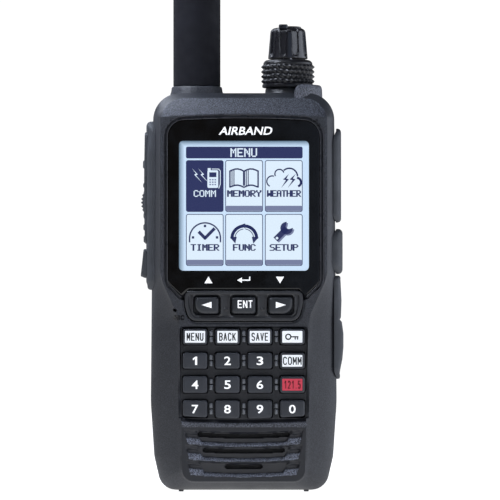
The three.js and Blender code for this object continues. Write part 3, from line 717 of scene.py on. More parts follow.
def wire(radius, path, sides):
    """A round wire along a path of points."""
    turn = [2 * math.pi * k / sides for k in range(sides)]
    section = [(radius * math.cos(a), radius * math.sin(a)) for a in turn]
    rings = []
    up = Vector((1, 0, 0))
    for i, p in enumerate(path):
        ahead = Vector(path[min(i + 1, len(path) - 1)]) - Vector(path[max(i - 1, 0)])
        ahead.normalize()
        u = (up - ahead * up.dot(ahead)).normalized()
        v = ahead.cross(u)
        up = u
        rings.append([tuple(Vector(p) + u * a + v * b) for a, b in section])
    return lofted(rings)


def lettering(name, text, body, x, z, depth, width, height, bold, lean=0.0):
    """Raised white printing on a face that looks forward, fitted to a width and height, and leant over."""
    thickness = 0.12
    curve = bpy.data.curves.new(name + "_text", "FONT")
    curve.body, curve.size, curve.offset, curve.extrude = text, 1.0, bold, 0.1
    curve.resolution_u = 5
    curve.align_x = "CENTER"
    temporary = bpy.data.objects.new(name + "_text", curve)
    bpy.context.scene.collection.objects.link(temporary)
    evaluated = temporary.evaluated_get(bpy.context.evaluated_depsgraph_get())
    mesh = bpy.data.meshes.new_from_object(evaluated)
    bm = bmesh.new()
    bm.from_mesh(mesh)
    bmesh.ops.remove_doubles(bm, verts=bm.verts, dist=1e-5)
    at = np.array([v.co for v in bm.verts])
    at[:, 0] += at[:, 1] * lean
    faces = [tuple(v.index for v in f.verts) for f in bm.faces]
    bm.free()
    bpy.data.objects.remove(temporary)
    bpy.data.curves.remove(curve)
    bpy.data.meshes.remove(mesh)
    low, high = at.min(axis=0), at.max(axis=0)
    wide, tall = width / (high[0] - low[0]), height / (high[1] - low[1])
    centre = (low + high) / 2
    at = at - centre
    points = [(x + a * wide, depth + (0.0 if h > 0 else thickness), z + b * tall) for a, b, h in at]
    return piece(name, body, (points, faces), WHITE, sharp=20)


def flat(outline, depth, thickness=0.06):
    """A thin printed patch on a face that looks forward."""
    return lofted([in_panel(outline, depth + thickness), in_panel(outline, depth)])


# ---------------------------------------------------------------- window and display
def arch(x, z):
    return x, z + float(window_arch(x, z))


def resampled(outline, pitch=1.0):
    out = []
    for (x0, z0), (x1, z1) in zip(outline, outline[1:] + outline[:1]):
        count = max(1, math.ceil(math.hypot(x1 - x0, z1 - z0) / pitch))
        out += [(x0 + (x1 - x0) * k / count, z0 + (z1 - z0) * k / count) for k in range(count)]
    return out


def star(outline, centre):
    """The outline's points at even angles round a centre."""
    points = []
    cx, cz = centre
    count = 360
    for k in range(count):
        a = 2 * math.pi * (k + 0.5) / count
        ux, uz = math.cos(a), math.sin(a)
        reach = 0.0
        for (x0, z0), (x1, z1) in zip(outline, outline[1:] + outline[:1]):
            ex, ez = x1 - x0, z1 - z0
            cross = ux * ez - uz * ex
            if abs(cross) < 1e-12:
                continue
            t = ((x0 - cx) * ez - (z0 - cz) * ex) / cross
            w = ((x0 - cx) * uz - (z0 - cz) * ux) / cross
            if t > 0 and -1e-9 <= w <= 1 + 1e-9:
                reach = max(reach, t)
        points.append((cx + ux * reach, cz + uz * reach))
    return points


LCD = (-21.6, 74.1, 21.75, 117.4)  # x0, z0, x1, z1 of what shows
LCD_MIDDLE = ((LCD[0] + LCD[2]) / 2, (LCD[1] + LCD[3]) / 2)
ON_GLASS = 0.06  # depth of the printing on the window


def display_window():
    glass = [(25.3, 124.0, 5), (25.3, 70.1, 2.5), (20.8, 65.8, 0.4), (20.25, 66.4, 0.2), (20.25, 67.95, 2.0)]

    def outer(inset):
        return [arch(*p) for p in star(resampled(rounded(mirrored(glass), inset, 10)), LCD_MIDDLE)]

    def hole(grow):
        return star(rounded(rectangle(*LCD, 1.4), -grow, 8), LCD_MIDDLE)

    outside = ((0, 1.6), (0, 0.35), (0.1, 0.17), (0.3, 0.1), (0.4, 0.1))
    inside = ((0.2, 0.1), (0.02, 0.1), (0, 0.12), (0, 1.6))
    rings = [in_panel(outer(inset), depth) for inset, depth in outside]
    rings += [in_panel(hole(grow), depth) for grow, depth in inside]
    piece("window_glass", ROOT, lofted(rings, caps=False), GLASS, "display_window", 25)
    for name, x, up in (("arrow_up", -11.75, 1), ("arrow_down", 12.1, -1)):
        tip = [(x - 1.35, 71 - 1.1 * up), (x + 1.35, 71 - 1.1 * up), (x, 71 + 1.15 * up)]
        piece(name, ROOT, flat(tip, ON_GLASS), WHITE)
    hook = [(-2.2, 70.95), (-0.6, 70.05), (-0.6, 70.75), (2.2, 70.75), (2.2, 72.1), (1.8, 72.1), (1.8, 71.15)]
    hook += [(-0.6, 71.15), (-0.6, 71.85)]
    piece("arrow_enter", ROOT, flat(hook, ON_GLASS), WHITE)
    lettering("band_legend", "AIRBAND", ROOT, 0.6, 120.75, ON_GLASS, 17.9, 2.7, 0.018, 0.2)


def window_frame():
    """Two narrow lips with a dark groove between them, which end at the pod of the navigation keys."""
    width = FRAME_WIDTH + 0.05
    profile = [(width, 0.6), (width - 0.08, -0.02), (width - 0.15, -0.12), (1.24, -0.12), (1.16, 0.1)]
    profile += [(1.12, 1.2), (0.36, 1.2), (0.32, 0.0), (0.27, -0.06), (0.16, -0.06), (0.08, 0.02)]
    profile += [(0.05, 1.7), (width, 1.7)]
    outlines = {}
    for offset, _ in profile:
        outlines[offset] = star(resampled(rounded(WINDOW_OUTLINE, -offset, 10)), LCD_MIDDLE)
    inner = outlines[0.05]
    count = len(inner)
    start = 3 * count // 4  # the frame starts and ends under the middle of its lower edge
    path = [k % count for k in range(start, start + count)]
    path = [k for k in path if inner[k][1] > 68.2 or abs(inner[k][0]) > 20.3]
    rings = []
    for k in path:
        section = [(arch(*outlines[offset][k]), depth) for offset, depth in profile]
        rings.append([(x, depth, z) for (x, z), depth in section])
    piece("window_frame", ROOT, lofted(rings), FRAME, sharp=40)


LCD_GLOW = 0.92


def lcd_glow(name, inner, edge):
    """The display's glow, which is darker along its upper and left borders."""
    s = Shader(name, (0.10, 0.12, 0.14, 1), 0.25, Specular_IOR_Level=0.3, Emission_Strength=LCD_GLOW)
    where = s.node("SeparateXYZ", {0: s.coordinates}).outputs
    border = 1.9
    left = s.ramp(where["X"], 1, 0, LCD[0] * MM, (LCD[0] + border) * MM)
    top = s.ramp(where["Z"], 0, 1, (LCD[3] - border) * MM, LCD[3] * MM)
    s.tree.links.new(s.mix(s.math("MAXIMUM", left, top), inner, edge), s.sockets["Emission Color"])
    return s.material


def lcd_ink(name, color):
    s = Shader(name, tinted(color, 0.12), 0.3, Emission_Color=color, Emission_Strength=LCD_GLOW)
    s.vary_roughness(s.noise(0.3, 2), 0.03)
    return s.material


SCREEN = lcd_glow("screen_back", srgb(199, 222, 246), srgb(70, 98, 120))
NAVY = lcd_ink("screen_navy", srgb(40, 47, 92))
PALE = lcd_ink("screen_pale", srgb(220, 236, 250))
GREY = lcd_ink("screen_grey", srgb(116, 124, 156))

LETTERS = {  # seven rows of five dots, from the top
    "A": (14, 17, 17, 31, 17, 17, 17), "C": (14, 17, 16, 16, 16, 17, 14), "E": (31, 16, 16, 30, 16, 16, 31),
    "F": (31, 16, 16, 30, 16, 16, 16), "H": (17, 17, 17, 31, 17, 17, 17), "I": (14, 4, 4, 4, 4, 4, 14),
    "M": (17, 27, 21, 21, 17, 17, 17), "N": (17, 25, 21, 21, 19, 17, 17), "O": (14, 17, 17, 17, 17, 17, 14),
    "P": (30, 17, 17, 30, 16, 16, 16), "R": (30, 17, 17, 30, 20, 18, 17), "S": (15, 16, 16, 14, 1, 1, 30),
    "T": (31, 4, 4, 4, 4, 4, 4), "U": (17, 17, 17, 17, 17, 17, 14), "W": (17, 17, 17, 21, 21, 27, 17),
    "Y": (17, 17, 10, 4, 4, 4, 4),
}


STROKES = {  # each letter's pen strokes in a box one unit wide and tall
    "M": [[(0, 0), (0, 1), (0.5, 0.3), (1, 1), (1, 0)]],
    "E": [[(1, 1), (0, 1), (0, 0), (1, 0)], [(0, 0.5), (0.85, 0.5)]],
    "N": [[(0, 0), (0, 1), (1, 0), (1, 1)]],
    "U": [[(0, 1), (0, 0.2), (0.25, 0), (0.75, 0), (1, 0.2), (1, 1)]],
    "B": [[(0, 0), (0, 1), (0.7, 1), (1, 0.85), (1, 0.65), (0.7, 0.52), (0, 0.52)],
          [(0.7, 0.52), (1, 0.38), (1, 0.15), (0.7, 0), (0, 0)]],
    "A": [[(0, 0), (0.5, 1), (1, 0)], [(0.2, 0.32), (0.8, 0.32)]],
    "C": [[(1, 0.8), (0.75, 1), (0.25, 1), (0, 0.8), (0, 0.2), (0.25, 0), (0.75, 0), (1, 0.2)]],
    "K": [[(0, 0), (0, 1)], [(1, 1), (0.05, 0.4)], [(0.35, 0.6), (1, 0)]],
    "S": [[(1, 0.85), (0.75, 1), (0.25, 1), (0, 0.85), (0, 0.65), (0.25, 0.53), (0.75, 0.47), (1, 0.35),
           (1, 0.15), (0.75, 0), (0.25, 0), (0, 0.15)]],
    "V": [[(0, 1), (0.5, 0), (1, 1)]],
    "T": [[(0, 1), (1, 1)], [(0.5, 1), (0.5, 0)]],
    "I": [[(0.4, 0), (0.4, 1)]],
    "O": [[(0.25, 0), (0, 0.2), (0, 0.8), (0.25, 1), (0.75, 1), (1, 0.8), (1, 0.2), (0.75, 0), (0.25, 0)]],
    "1": [[(0.1, 0.75), (0.6, 1), (0.6, 0)]],
    "2": [[(0, 0.8), (0.25, 1), (0.75, 1), (1, 0.8), (1, 0.6), (0, 0), (1, 0)]],
    "5": [[(0.95, 1), (0.1, 1), (0, 0.55), (0.7, 0.6), (1, 0.42), (1, 0.2), (0.75, 0), (0.2, 0), (0, 0.15)]],
    ".": [[(0.4, 0.02), (0.6, 0.02)]],
}


def box(x0, z0, x1, z1):
    return [(x0, z0), (x1, z0), (x1, z1), (x0, z1)]


class Drawing:
    """Flat patches in several layers and colours."""

    layer_step = 0.012

    def __init__(self, depth, thickness=0.01):
        self.depth, self.thickness = depth, thickness
        self.points, self.faces, self.colors = [], [], []

    def patch(self, outline, color, layer=1):
        points, faces = flat(outline, self.depth - self.layer_step * layer, self.thickness)
        base = len(self.points)
        self.points += points
        self.faces += [tuple(base + i for i in f) for f in faces]
        self.colors += [color] * len(faces)

    def tile(self, x0, z0, x1, z1, radius, color, layer=1):
        self.patch(rounded(rectangle(x0, z0, x1, z1, radius)), color, layer)

    def stroke(self, path, width, color, layer=2):
        for (x0, z0), (x1, z1) in zip(path, path[1:]):
            length = math.hypot(x1 - x0, z1 - z0) or 1.0
            nx, nz = -(z1 - z0) / length * width / 2, (x1 - x0) / length * width / 2
            ax, az = nz * 0.6, -nx * 0.6
            box = [(x0 + nx - ax, z0 + nz - az), (x0 - nx - ax, z0 - nz - az)]
            box += [(x1 - nx + ax, z1 - nz + az), (x1 + nx + ax, z1 + nz + az)]
            self.patch(box, color, layer)

    def word(self, text, x0, x1, low, high, color, swell, layer=3):
        dots = 6 * len(text) - 1
        w, h = (x1 - x0) / dots, (high - low) / 7
        for k, letter in enumerate(text):
            for row, bits in enumerate(LETTERS[letter]):
                run = None
                for column in range(6):
                    on = column < 5 and bits >> (4 - column) & 1
                    if on and run is None:
                        run = column
                    if not on and run is not None:
                        left = x0 + (6 * k + run) * w - swell * 0.4
                        right = x0 + (6 * k + column) * w + swell
                        top = high - row * h
                        self.patch(box(left, top - h * 1.04, right, top), color, layer)
                        run = None

    def label(self, text, x, z, width, height, pen):
        """A word in narrow pen strokes, centred on (x, z)."""
        gap = pen * 1.75
        shares = [0.3 if letter in ".I" else 1.0 for letter in text]
        unit = (width - pen - gap * (len(text) - 1)) / sum(shares)
        left = x - width / 2 + pen / 2
        for letter, share in zip(text, shares):
            for path in STROKES[letter]:
                tall = height - pen
                self.stroke([(left + a * unit * share, z - tall / 2 + b * tall) for a, b in path], pen, 0, 1)
            left += unit * share + gap

    def done(self, name, materials):
        thing = piece(name, ROOT, (self.points, self.faces), materials)
        thing.data.polygons.foreach_set("material_index", self.colors)


def arc(x, z, radius, start, end, steps=16):
    turn = [math.radians(start + (end - start) * k / steps) for k in range(steps + 1)]
    return [(x + radius * math.cos(a), z + radius * math.sin(a)) for a in turn]


DARK, LIGHT, SHADE = 0, 1, 2  # the drawing's colours on the display


def handset_icon(d):
    """Two sparks and a handset."""
    spark = [(-17.3, 108.2), (-15.3, 106.2), (-15.9, 105.9), (-13.8, 103.4), (-16.5, 106.1), (-15.9, 106.5)]
    for shift in (0.0, 2.1):
        d.patch([(x + shift, z) for x, z in spark], LIGHT, 3)
    d.tile(-12.1, 101.7, -8.5, 107.6, 0.5, LIGHT, 3)
    d.patch(box(-12.0, 107.0, -11.0, 108.3), LIGHT, 3)
    d.stroke([(-10.6, 108.0), (-8.4, 108.0), (-7.8, 107.4), (-7.8, 103.0), (-8.3, 101.6)], 0.25, LIGHT, 3)
    d.patch(box(-11.5, 105.3, -9.1, 106.9), DARK, 4)
    for row in range(3):
        for column in range(3):
            x, z = -11.45 + column * 0.85, 104.2 - row * 0.8
            d.patch(box(x, z, x + 0.55, z + 0.45), SHADE, 4)


def book_icon(d):
    """An open book."""
    wide = 4.7
    page = [(0.1, 102.6), (0.1, 107.3)]
    page += [(t, 107.3 + 0.75 * math.sin(math.pi * t / wide)) for t in (1, 2, 3, 4, wide)] + [(wide, 102.0)]
    page += [(t, 101.9 + 0.75 * math.sin(math.pi * t / wide)) for t in (4, 3, 2, 1, 0.1)]
    for side in (-1, 1):
        d.stroke([(0.1 + side * t, z) for t, z in page], 0.5, DARK, 3)
    for x in (-3.9, -3.25, 0.85, 1.5):
        d.stroke([(x, 102.6), (x, 107.5)], 0.32, DARK, 3)


def weather_icon(d):
    """A cloud with two flashes."""
    lobes = ((9.5, 103.9, 1.8, 75, 240, 0.42), (11.9, 106.4, 1.5, 20, 205, 0.42))
    lobes += ((15.2, 105.5, 2.75, 5, 130, 0.5), (17.6, 103.6, 1.5, -60, 75, 0.75))
    for x, z, r, a0, a1, width in lobes:
        d.stroke(arc(x, z, r, a0, a1), width, DARK, 3)
    flash = [(15.1, 106.4), (13.1, 104.5), (14.1, 104.3), (12.5, 101.7), (15.1, 104.6), (14.2, 104.8)]
    for shift in (0.0, 2.2):
        d.patch([(x + shift, z) for x, z in flash], DARK, 3)


def clock_icon(d):
    """A clock."""
    d.stroke([(-18.05, 83.7)] + arc(-12.9, 84.9, 5.15, 180, 0, 24) + [(-7.75, 83.7)], 0.48, DARK, 3)
    d.stroke([(-14.8, 86.9), (-12.9, 84.95), (-9.9, 88.0)], 1.05, DARK, 3)
    for x, z in ((-12.9, 89.0), (-16.9, 85.2), (-8.9, 85.2)):
        d.patch(box(x - 0.4, z - 0.4, x + 0.4, z + 0.4), DARK, 3)


def arrows_icon(d):
    """Arrows that chase each other round a circle."""
    for a0, a1 in ((97, 178), (83, 2)):
        d.stroke(arc(0.2, 84.9, 4.1, a0, a1), 1.05, DARK, 3)
        d.stroke(arc(0.2, 84.9, 3.1, a0, a1), 0.25, DARK, 3)
        x, z = arc(0.2, 84.9, 3.9, a1, a1, 1)[0]
        side = 1 if a1 < 90 else -1
        d.patch([(x - side * 1.4, z + 0.4), (x + side * 0.9, z + 0.2), (x - side * 0.9, z - 1.9)], DARK, 3)
    d.patch([(-0.9, 89.4), (0.5, 89.9), (0.5, 88.1)], DARK, 3)


def spanner_icon(d):
    """A spanner with its shadow."""
    jaw = arc(14.3, 88.3, 2.1, 88, 362, 18) + [(15.2, 88.0), (14.2, 88.0), (13.9, 88.5), (14.2, 89.4)]
    for dx, dz, color, layer in ((0.45, -0.4, SHADE, 3), (0.0, 0.0, DARK, 4)):
        d.stroke([(11.0 + dx, 84.9 + dz), (14.0 + dx, 87.9 + dz)], 1.9, color, layer)
        d.patch([(x + dx, z + dz) for x, z in jaw], color, layer)
    d.patch(arc(11.1, 84.95, 0.45, 0, 345, 11), LIGHT, 5)


def menu_tile(d, left, low, right, high, word):
    """A pale tile with a grey foot and a dark word. The chosen one is dark, with a pale word."""
    chosen = word == "COMM"
    d.tile(left, low, right, high, 0.75, DARK)
    if not chosen:
        d.tile(left + 0.24, low + 0.24, right - 0.24, high - 0.24, 0.55, LIGHT, 2)
        d.tile(left + 0.26, low + 0.3, right - 0.26, low + 2.05, 0.3, SHADE, 3)
    size = 1.63 if word == "WEATHER" else 1.92
    half = (len(word) * size - 0.3) / 2
    middle = (left + right) / 2
    color, swell = (LIGHT, 0.04) if chosen else (DARK, 0.2)
    d.word(word, middle - half, middle + half, low + 5.05, low + 7.25, color, swell, 4)


def display():
    """The screen, and on it a title bar and a menu of six tiles."""
    screen = cushion(rectangle(*LCD, 1.4), in_panel, 0.3, 1.4, 0.05)
    piece("screen", ROOT, screen, SCREEN, "lcd_module")
    d = Drawing(0.29)
    d.tile(-19.25, 111.55, 19.65, 115.45, 0.6, DARK)
    d.word("MENU", -4.4, 4.4, 112.05, 114.95, LIGHT, 0.06)
    columns = [(-19.25, -6.72), (-6.14, 6.42), (7.08, 19.65)]
    rows = [(93.7, 110.95), (75.7, 93.0)]
    words = [["COMM", "MEMORY", "WEATHER"], ["TIMER", "FUNC", "SETUP"]]
    for (low, high), names in zip(rows, words):
        for (left, right), word in zip(columns, names):
            menu_tile(d, left, low, right, high, word)
    for icon in (handset_icon, book_icon, weather_icon, clock_icon, arrows_icon, spanner_icon):
        icon(d)
    d.done("screen_menu", [NAVY, PALE, GREY])


def microphone_mark():
    """Three small letters printed on the case, under the microphone's hole."""
    d = Drawing(-0.3, 0.4)
    d.label("MIC", -21.5, 58.45, 3.5, 1.55, 0.27)

    def laid(x, depth, z):
        return x, depth + float(front_surface(np.array([x]), np.array([z]))[0][0]), z

    piece("microphone_mark", ROOT, bent((d.points, d.faces), laid), GLASS)


display_window()
window_frame()
display()
microphone_mark()


# ---------------------------------------------------------------- keys
def smile(x, z):
    """The height z of a key in the last row, after its lower edge is bent."""
    row, height = ROWS[-1]
    share = min(max((row + height / 2 - z) / height, 0), 1)
    return z + share * (-0.2 + 0.0019 * x * x)


def key_block(x, z, width, height, corners, front=1.2, back=-2.4, crown=0.12, edge=0.5):
    """A key with a slightly domed face."""

    def swell(a, b):
        return crown * (1 - ((a - x) / width * 2) ** 2) * (1 - ((b - z) / height * 2) ** 2)

    return relief_block("front", corners, front, back, edge, swell, 0.45)


KEY_LEGENDS = [  # None is a drawing of a door key
    ["MENU", "BACK", "SAVE", None], ["1", "2", "3", "COMM"], ["4", "5", "6", "121.5"], ["7", "8", "9", "0"],
]
KEY_FACE, NAV_FACE = -1.34, -1.68  # depth of the printing on the keys


def key_legend(name, legend, x, z):
    """A white digit, or dark strokes on a pale or red label."""

    def printed_on(shape, material, part="_legend"):
        piece(name + part, name, shape, material)

    if legend == "1":
        one = [(0.0, -1.4), (0.7, -1.4), (0.7, 1.4), (0.15, 1.4), (-0.75, 0.75), (-0.75, 0.15), (0.0, 0.6)]
        return printed_on(flat([(x + a, z + b) for a, b in one], KEY_FACE, 0.12), WHITE)
    if legend and legend.isdigit():
        return lettering(name + "_legend", legend, name, x, z, KEY_FACE, 2.2, 2.85, 0.015)
    red = legend == "121.5"
    label = flat(rounded(rectangle(x - 3.35, z - 1.95, x + 3.35, z + 1.95, 0.2)), KEY_FACE + 0.02, 0.14)
    printed_on(label, RED if red else LABEL, "_label")
    d = Drawing(KEY_FACE + 0.01)
    if legend:
        d.label(legend, x, z, 6.2 if legend == "COMM" else 5.6, 2.7, 0.36)
    else:
        teeth = [[(x + a, z), (x + a, z - 0.8)] for a in (0.95, 1.75)]
        for path in [arc(x - 1.35, z, 0.85, 0, 360, 20), [(x - 0.55, z), (x + 1.9, z)]] + teeth:
            d.stroke(path, 0.42, 0, 1)
    return printed_on((d.points, d.faces), DARK_RED if red else INK)


def keypad():
    for (z, height), names, legends in zip(ROWS, KEY_NAMES, KEY_LEGENDS):
        for x, name, legend in zip(COLUMNS, names, legends):
            w, h = KEY_WIDTH / 2, height / 2
            shape = key_block(x, z, KEY_WIDTH, height, rectangle(x - w, z - h, x + w, z + h, 0.9))
            if names is KEY_NAMES[-1]:
                shape = bent(shape, lambda a, d, b: (a, d, smile(a, b)))
            piece(name + "_cap", name, shape, KEY, name, 50)
            key_legend(name, legend, x, z)


def key_ribs():
    """Short rounded bars that stand between the columns of keys, two beside each row."""
    bars = []
    for x in (-10.85, 0.05, 10.9):
        for row, _ in ROWS:
            for z in (row + 1.05, row - 0.98):
                corners = rectangle(x - 0.6, z - 0.84, x + 0.6, z + 0.84, 0.35)
                bars.append(cushion(corners, in_panel, -0.15, 1.6, 0.5))
    # their light grey is a painted highlight
    piece("key_ribs", ROOT, merged(*bars), RIB_PAINTED_HIGHLIGHT, sharp=60)


def nav_keys():
    """Left arrow, enter and right arrow. The outer two have a large lower outer corner."""
    for side, name in ((-1, "key_left"), (0, "key_enter"), (1, "key_right")):
        x, z = side * NAV_PITCH, NAV_Z
        w, h = NAV_WIDTH / 2 - 0.2, NAV_HEIGHT / 2 - 0.15
        corners = rectangle(x - w, z - h, x + w, z + h, 1.0)
        if side:
            which = 0 if side < 0 else 1
            corners[which] = corners[which][:2] + (3.2,)
            tip = [(x - side * 1.6, z - 0.85), (x - side * 1.6, z + 1.25), (x + side * 1.75, z + 0.2)]
            legend = flat(tip, NAV_FACE, 0.16)
        else:
            d = Drawing(NAV_FACE + 0.01)
            d.label("ENT", x + 0.5, z + 0.45, 5.0, 2.6, 0.38)
            legend = (d.points, d.faces)
        shape = key_block(x, z, NAV_WIDTH, NAV_HEIGHT, corners, 1.5, -1.4, 0.15, 0.8)
        piece(name + "_cap", name, shape, NAV_KEY, name, 50)
        piece(name + "_legend", name, legend, WHITE)


def nav_surround():
    outline = mirrored([(19.7, 67.4, 1.9), (19.7, 62.5, 4), (18.1, 57.3, 3.4)])

    def relief(a, b):
        edge = -polygon_distance(a, b, rounded(outline, 0, 10))
        tray = smooth((edge - 1.1) / 0.5)
        height = -0.55 * tray
        for side in (-1, 0, 1):
            gap = rect_distance(a, b, side * NAV_PITCH, NAV_Z, NAV_WIDTH / 2 + 0.3, NAV_HEIGHT / 2 + 0.3, 1.0)
            if side:
                out, down = side * (a - side * NAV_PITCH) - 1.9, NAV_Z - 0.7 - b
                corner = np.hypot(np.maximum(out, 0), np.maximum(down, 0)) - 2.9
                gap = np.maximum(gap, np.where((out > 0) & (down > 0), corner, -9))
            height = height - 3.4 * smooth(-gap / 0.2)
            height = height + 0.22 * np.exp(-((gap - 0.35) / 0.3) ** 2) * tray
        for x in (-6.0, 6.25):
            height = height + 0.55 * smooth((0.55 - np.hypot(a - x, b - 61.2)) / 0.3)
        return height

    shape = relief_block("front", outline, 0.35, -4.2, 0.35, relief, 0.25)
    piece("nav_surround", ROOT, shape, TRIM, "nav_bezel", 40)


keypad()
key_ribs()
nav_keys()
nav_surround()


# ---------------------------------------------------------------- top: antenna, knobs and their seats
ANTENNA_X, KNOB_X, POST_DEPTH = -15.85, 14.9, 15.5


def top_seats():
    profile = [(9.3, 130.5), (9.2, 132.6), (8.95, 133.6), (8.65, 134.6), (8.5, 135.7), (8.3, 136.0)]
    profile += [(8.0, 136.1), (4.2, 136.1), (4.2, 127.0), (9.3, 127.0)]
    seat = turned(profile, ANTENNA_X, POST_DEPTH, 72, caps=False)
    piece("antenna_seat", ROOT, seat, CASE_GRAIN)
    profile = [(8.6, 130.5), (8.2, 133.0), (7.7, 133.8), (7.6, 135.2), (7.4, 135.5), (4.9, 135.5)]
    profile += [(4.9, 127.0), (8.6, 127.0)]
    piece("knob_seat", ROOT, turned(profile, KNOB_X, POST_DEPTH, 72, caps=False), CASE)


def knob_guard():
    """A low wall that curves round the front and right of the knobs, with a quarter round at each end."""
    steps, start, sweep = 56, -79, 118  # degrees
    foot = 130.0
    rings = []
    for k in range(steps + 1):
        a = math.radians(start + sweep * k / steps)
        near = min(k * sweep / steps / 13.0, 1.0)
        far = min((steps - k) * sweep / steps / 9.0, 1.0)
        top = 132.6 + 4.0 * math.sqrt(1 - (1 - near) ** 2) * math.sqrt(1 - (1 - far) ** 2)
        outer = min(11.35, 10.9 / max(abs(math.sin(a)), 0.01))
        inner = min(9.4, outer - 1.5)
        section = [(outer + 0.4, foot), (outer + 0.3, 132.6), (outer + 0.2, top - 1.5)]
        section += [(outer - 0.05, top - 0.5), (outer - 0.5, top - 0.08), (outer - 1.0, top)]
        section += [(inner + 0.35, top), (inner, top - 0.3), (inner, foot)]
        rings.append([(KNOB_X + r * math.cos(a), POST_DEPTH + r * math.sin(a), z) for r, z in section])
    # its lighter, more specked plastic is a painted highlight
    piece("knob_guard", ROOT, lofted(rings), GUARD_GRAIN_PAINTED_HIGHLIGHT, sharp=50)


def antenna():
    foot, radius, tip = 136.15, 7.95, 5.3
    top = span("antenna_sleeve")[1][2]
    profile = [(5.2, foot), (radius - 0.35, foot), (radius - 0.08, foot + 0.1), (radius, foot + 0.4)]
    profile += [(radius, foot + 1 + 3 * k) for k in range(16)]
    profile += [(radius - 0.15, foot + 50), (radius - 0.7, foot + 58), (radius - 1.2, foot + 68)]
    profile += [(radius - 1.6, foot + 78)]
    profile += [(6.3 - 0.9 * k / 12, foot + 80 + 80 * k / 12) for k in range(13)]
    turn = [math.radians(a) for a in range(0, 90, 9)]
    profile += [(tip * math.cos(a), top - tip + tip * math.sin(a)) for a in turn] + [(0.4, top)]
    sleeve = turned(profile, ANTENNA_X, POST_DEPTH, 72)
    piece("antenna_sleeve_body", ROOT, sleeve, ANTENNA, "antenna_sleeve", 50)


def selector():
    """The upper knob: nine flutes with round feet, a domed top and a raised pointer."""
    flutes, first = 9, math.radians(13.5)
    foot_top, foot_radius = 147.5, 1.25

    def fluted(r, z, a):
        phase = ((a - first) / (2 * math.pi) * flutes + 0.5) % 1.0 - 0.5
        across = abs(phase) * 2 * math.pi * r / flutes  # mm from the flute's middle
        if r < 4.4:
            return r
        foot = foot_top - math.sqrt(max(0.0, foot_radius**2 - min(across, foot_radius) ** 2))
        rise = min(max((z - foot) / 0.3, 0.0), 1.0)
        wall = min(max((1.3 - across) / 0.3, 0.0), 1.0)
        floor = (r - 0.65) / math.cos(phase * 2 * math.pi / flutes)
        return r - (r - floor) * rise * wall * wall * (3 - 2 * wall)

    profile = [(4.0, 145.5), (6.5, 145.5), (6.64, 145.65)]
    profile += [(6.66 - 0.082 * (z - 145.8), z) for z in np.arange(145.8, 154.4, 0.3)]
    profile += [(5.93, 154.55), (5.85, 154.85), (5.6, 155.25), (5.2, 155.6), (4.7, 155.85), (4.0, 155.98)]
    profile += [(2.5, 156.0)]
    body = turned(profile, KNOB_X, POST_DEPTH, 270, fluted)
    piece("selector_body", "selector_control", body, KNOB, "selector_knob", 38)
    x, depth = KNOB_X, POST_DEPTH
    corners = rectangle(x - 3.1, depth - 5.2, x - 0.1, depth + 1.2, 0.7)
    pointer = cushion(corners, in_plan, 156.95, 155.6, 0.35)
    cap = turned([(3.6, 155.7), (3.6, 156.15), (3.4, 156.4), (2.8, 156.5)], x + 0.9, depth + 0.6, 48)
    piece("selector_pointer", "selector_control", merged(pointer, cap), KNOB)


def volume():
    """The lower knob: four rows of pointed studs over a smooth collar."""
    teeth, pitch, low, rows = 30, 1.62, 137.1, 4

    def studded(r, z, a):
        if not low < z < low + rows * pitch or r < 8:
            return r
        row = (z - low) / pitch
        upright = 1 - abs(2 * (row % 1.0) - 1)
        around = 1 - abs(2 * ((a / (2 * math.pi) * teeth + 0.5 * (int(row) % 2)) % 1.0) - 1)
        return r + 0.8 * max(0.0, min(upright * 1.15, 1.0)) * (0.3 + 0.7 * around)

    profile = [(4.0, 135.75), (8.35, 135.75), (8.65, 135.95), (8.7, 136.4), (8.6, 136.85), (8.3, 137.05)]
    profile += [(8.25, low + pitch * k / 8) for k in range(0, 8 * rows + 1)]
    profile += [(8.3, 143.7), (8.25, 144.1), (7.9, 144.65), (7.4, 145.0), (7.0, 145.1), (5.2, 145.1)]
    profile += [(4.9, 144.9)]
    ring = turned(profile, KNOB_X, POST_DEPTH, teeth * 8, studded)
    piece("volume_body", "volume_control", ring, RING, "volume_ring", 30)


top_seats()
knob_guard()
antenna()
selector()
volume()


# ---------------------------------------------------------------- sides: push-to-talk, jack covers and grip
JACK_DEPTH = 10.8
MIC_SP, DC = (106.5, 3.2), (80.8, 2.5)  # z and radius of the two jacks


def side_pad(name, body, node, side, block, relief=None, pitch=0.4, leans=True, plug=None):
    """A rubber block on a side. If it leans, its front edge goes inwards over the case's sloped flank."""
    shape = relief_block(side, *block, relief, pitch)
    if leans:
        toward = 1 if side == "right" else -1
        shape = bent(shape, lambda x, d, z: (x - toward * 0.5 * max(6.4 - d, 0), d, z))
    if plug:
        z, radius = plug
        profile = [(31.3, radius), (29.5, radius), (29.2, radius - 0.3)]
        shape = merged(shape, lofted(rod(profile, JACK_DEPTH, z, 32)))
    piece(name, body, shape, SIDE, node, 50)


def left_frame():
    """The frame round the two side buttons, with a pocket for each."""
    corners = [(3.8, 67.6, 4.0), (17.2, 67.6, 4.0), (17.2, 124.2, 4.0), (3.8, 124.2, 5.5)]

    def relief(a, b):
        ptt = rect_distance(a, b, 10.8, 101.8, 4.8, 19.1, 1.8)
        monitor = rect_distance(a, b, 10.8, 76.5, 4.8, 5.2, 1.8)
        scoop = 0.7 * np.exp(-(((b - 119) / 4) ** 2) - ((a - 4.6) / 1.6) ** 2)
        return -2.6 * smooth(-np.minimum(ptt, monitor) / 0.3) - 0.4 * smooth((70.5 - b) / 1.5) - scoop

    side_pad("left_frame", ROOT, "left_key_frame", "left", (corners, 32.7, 29.6, 1.6), relief)


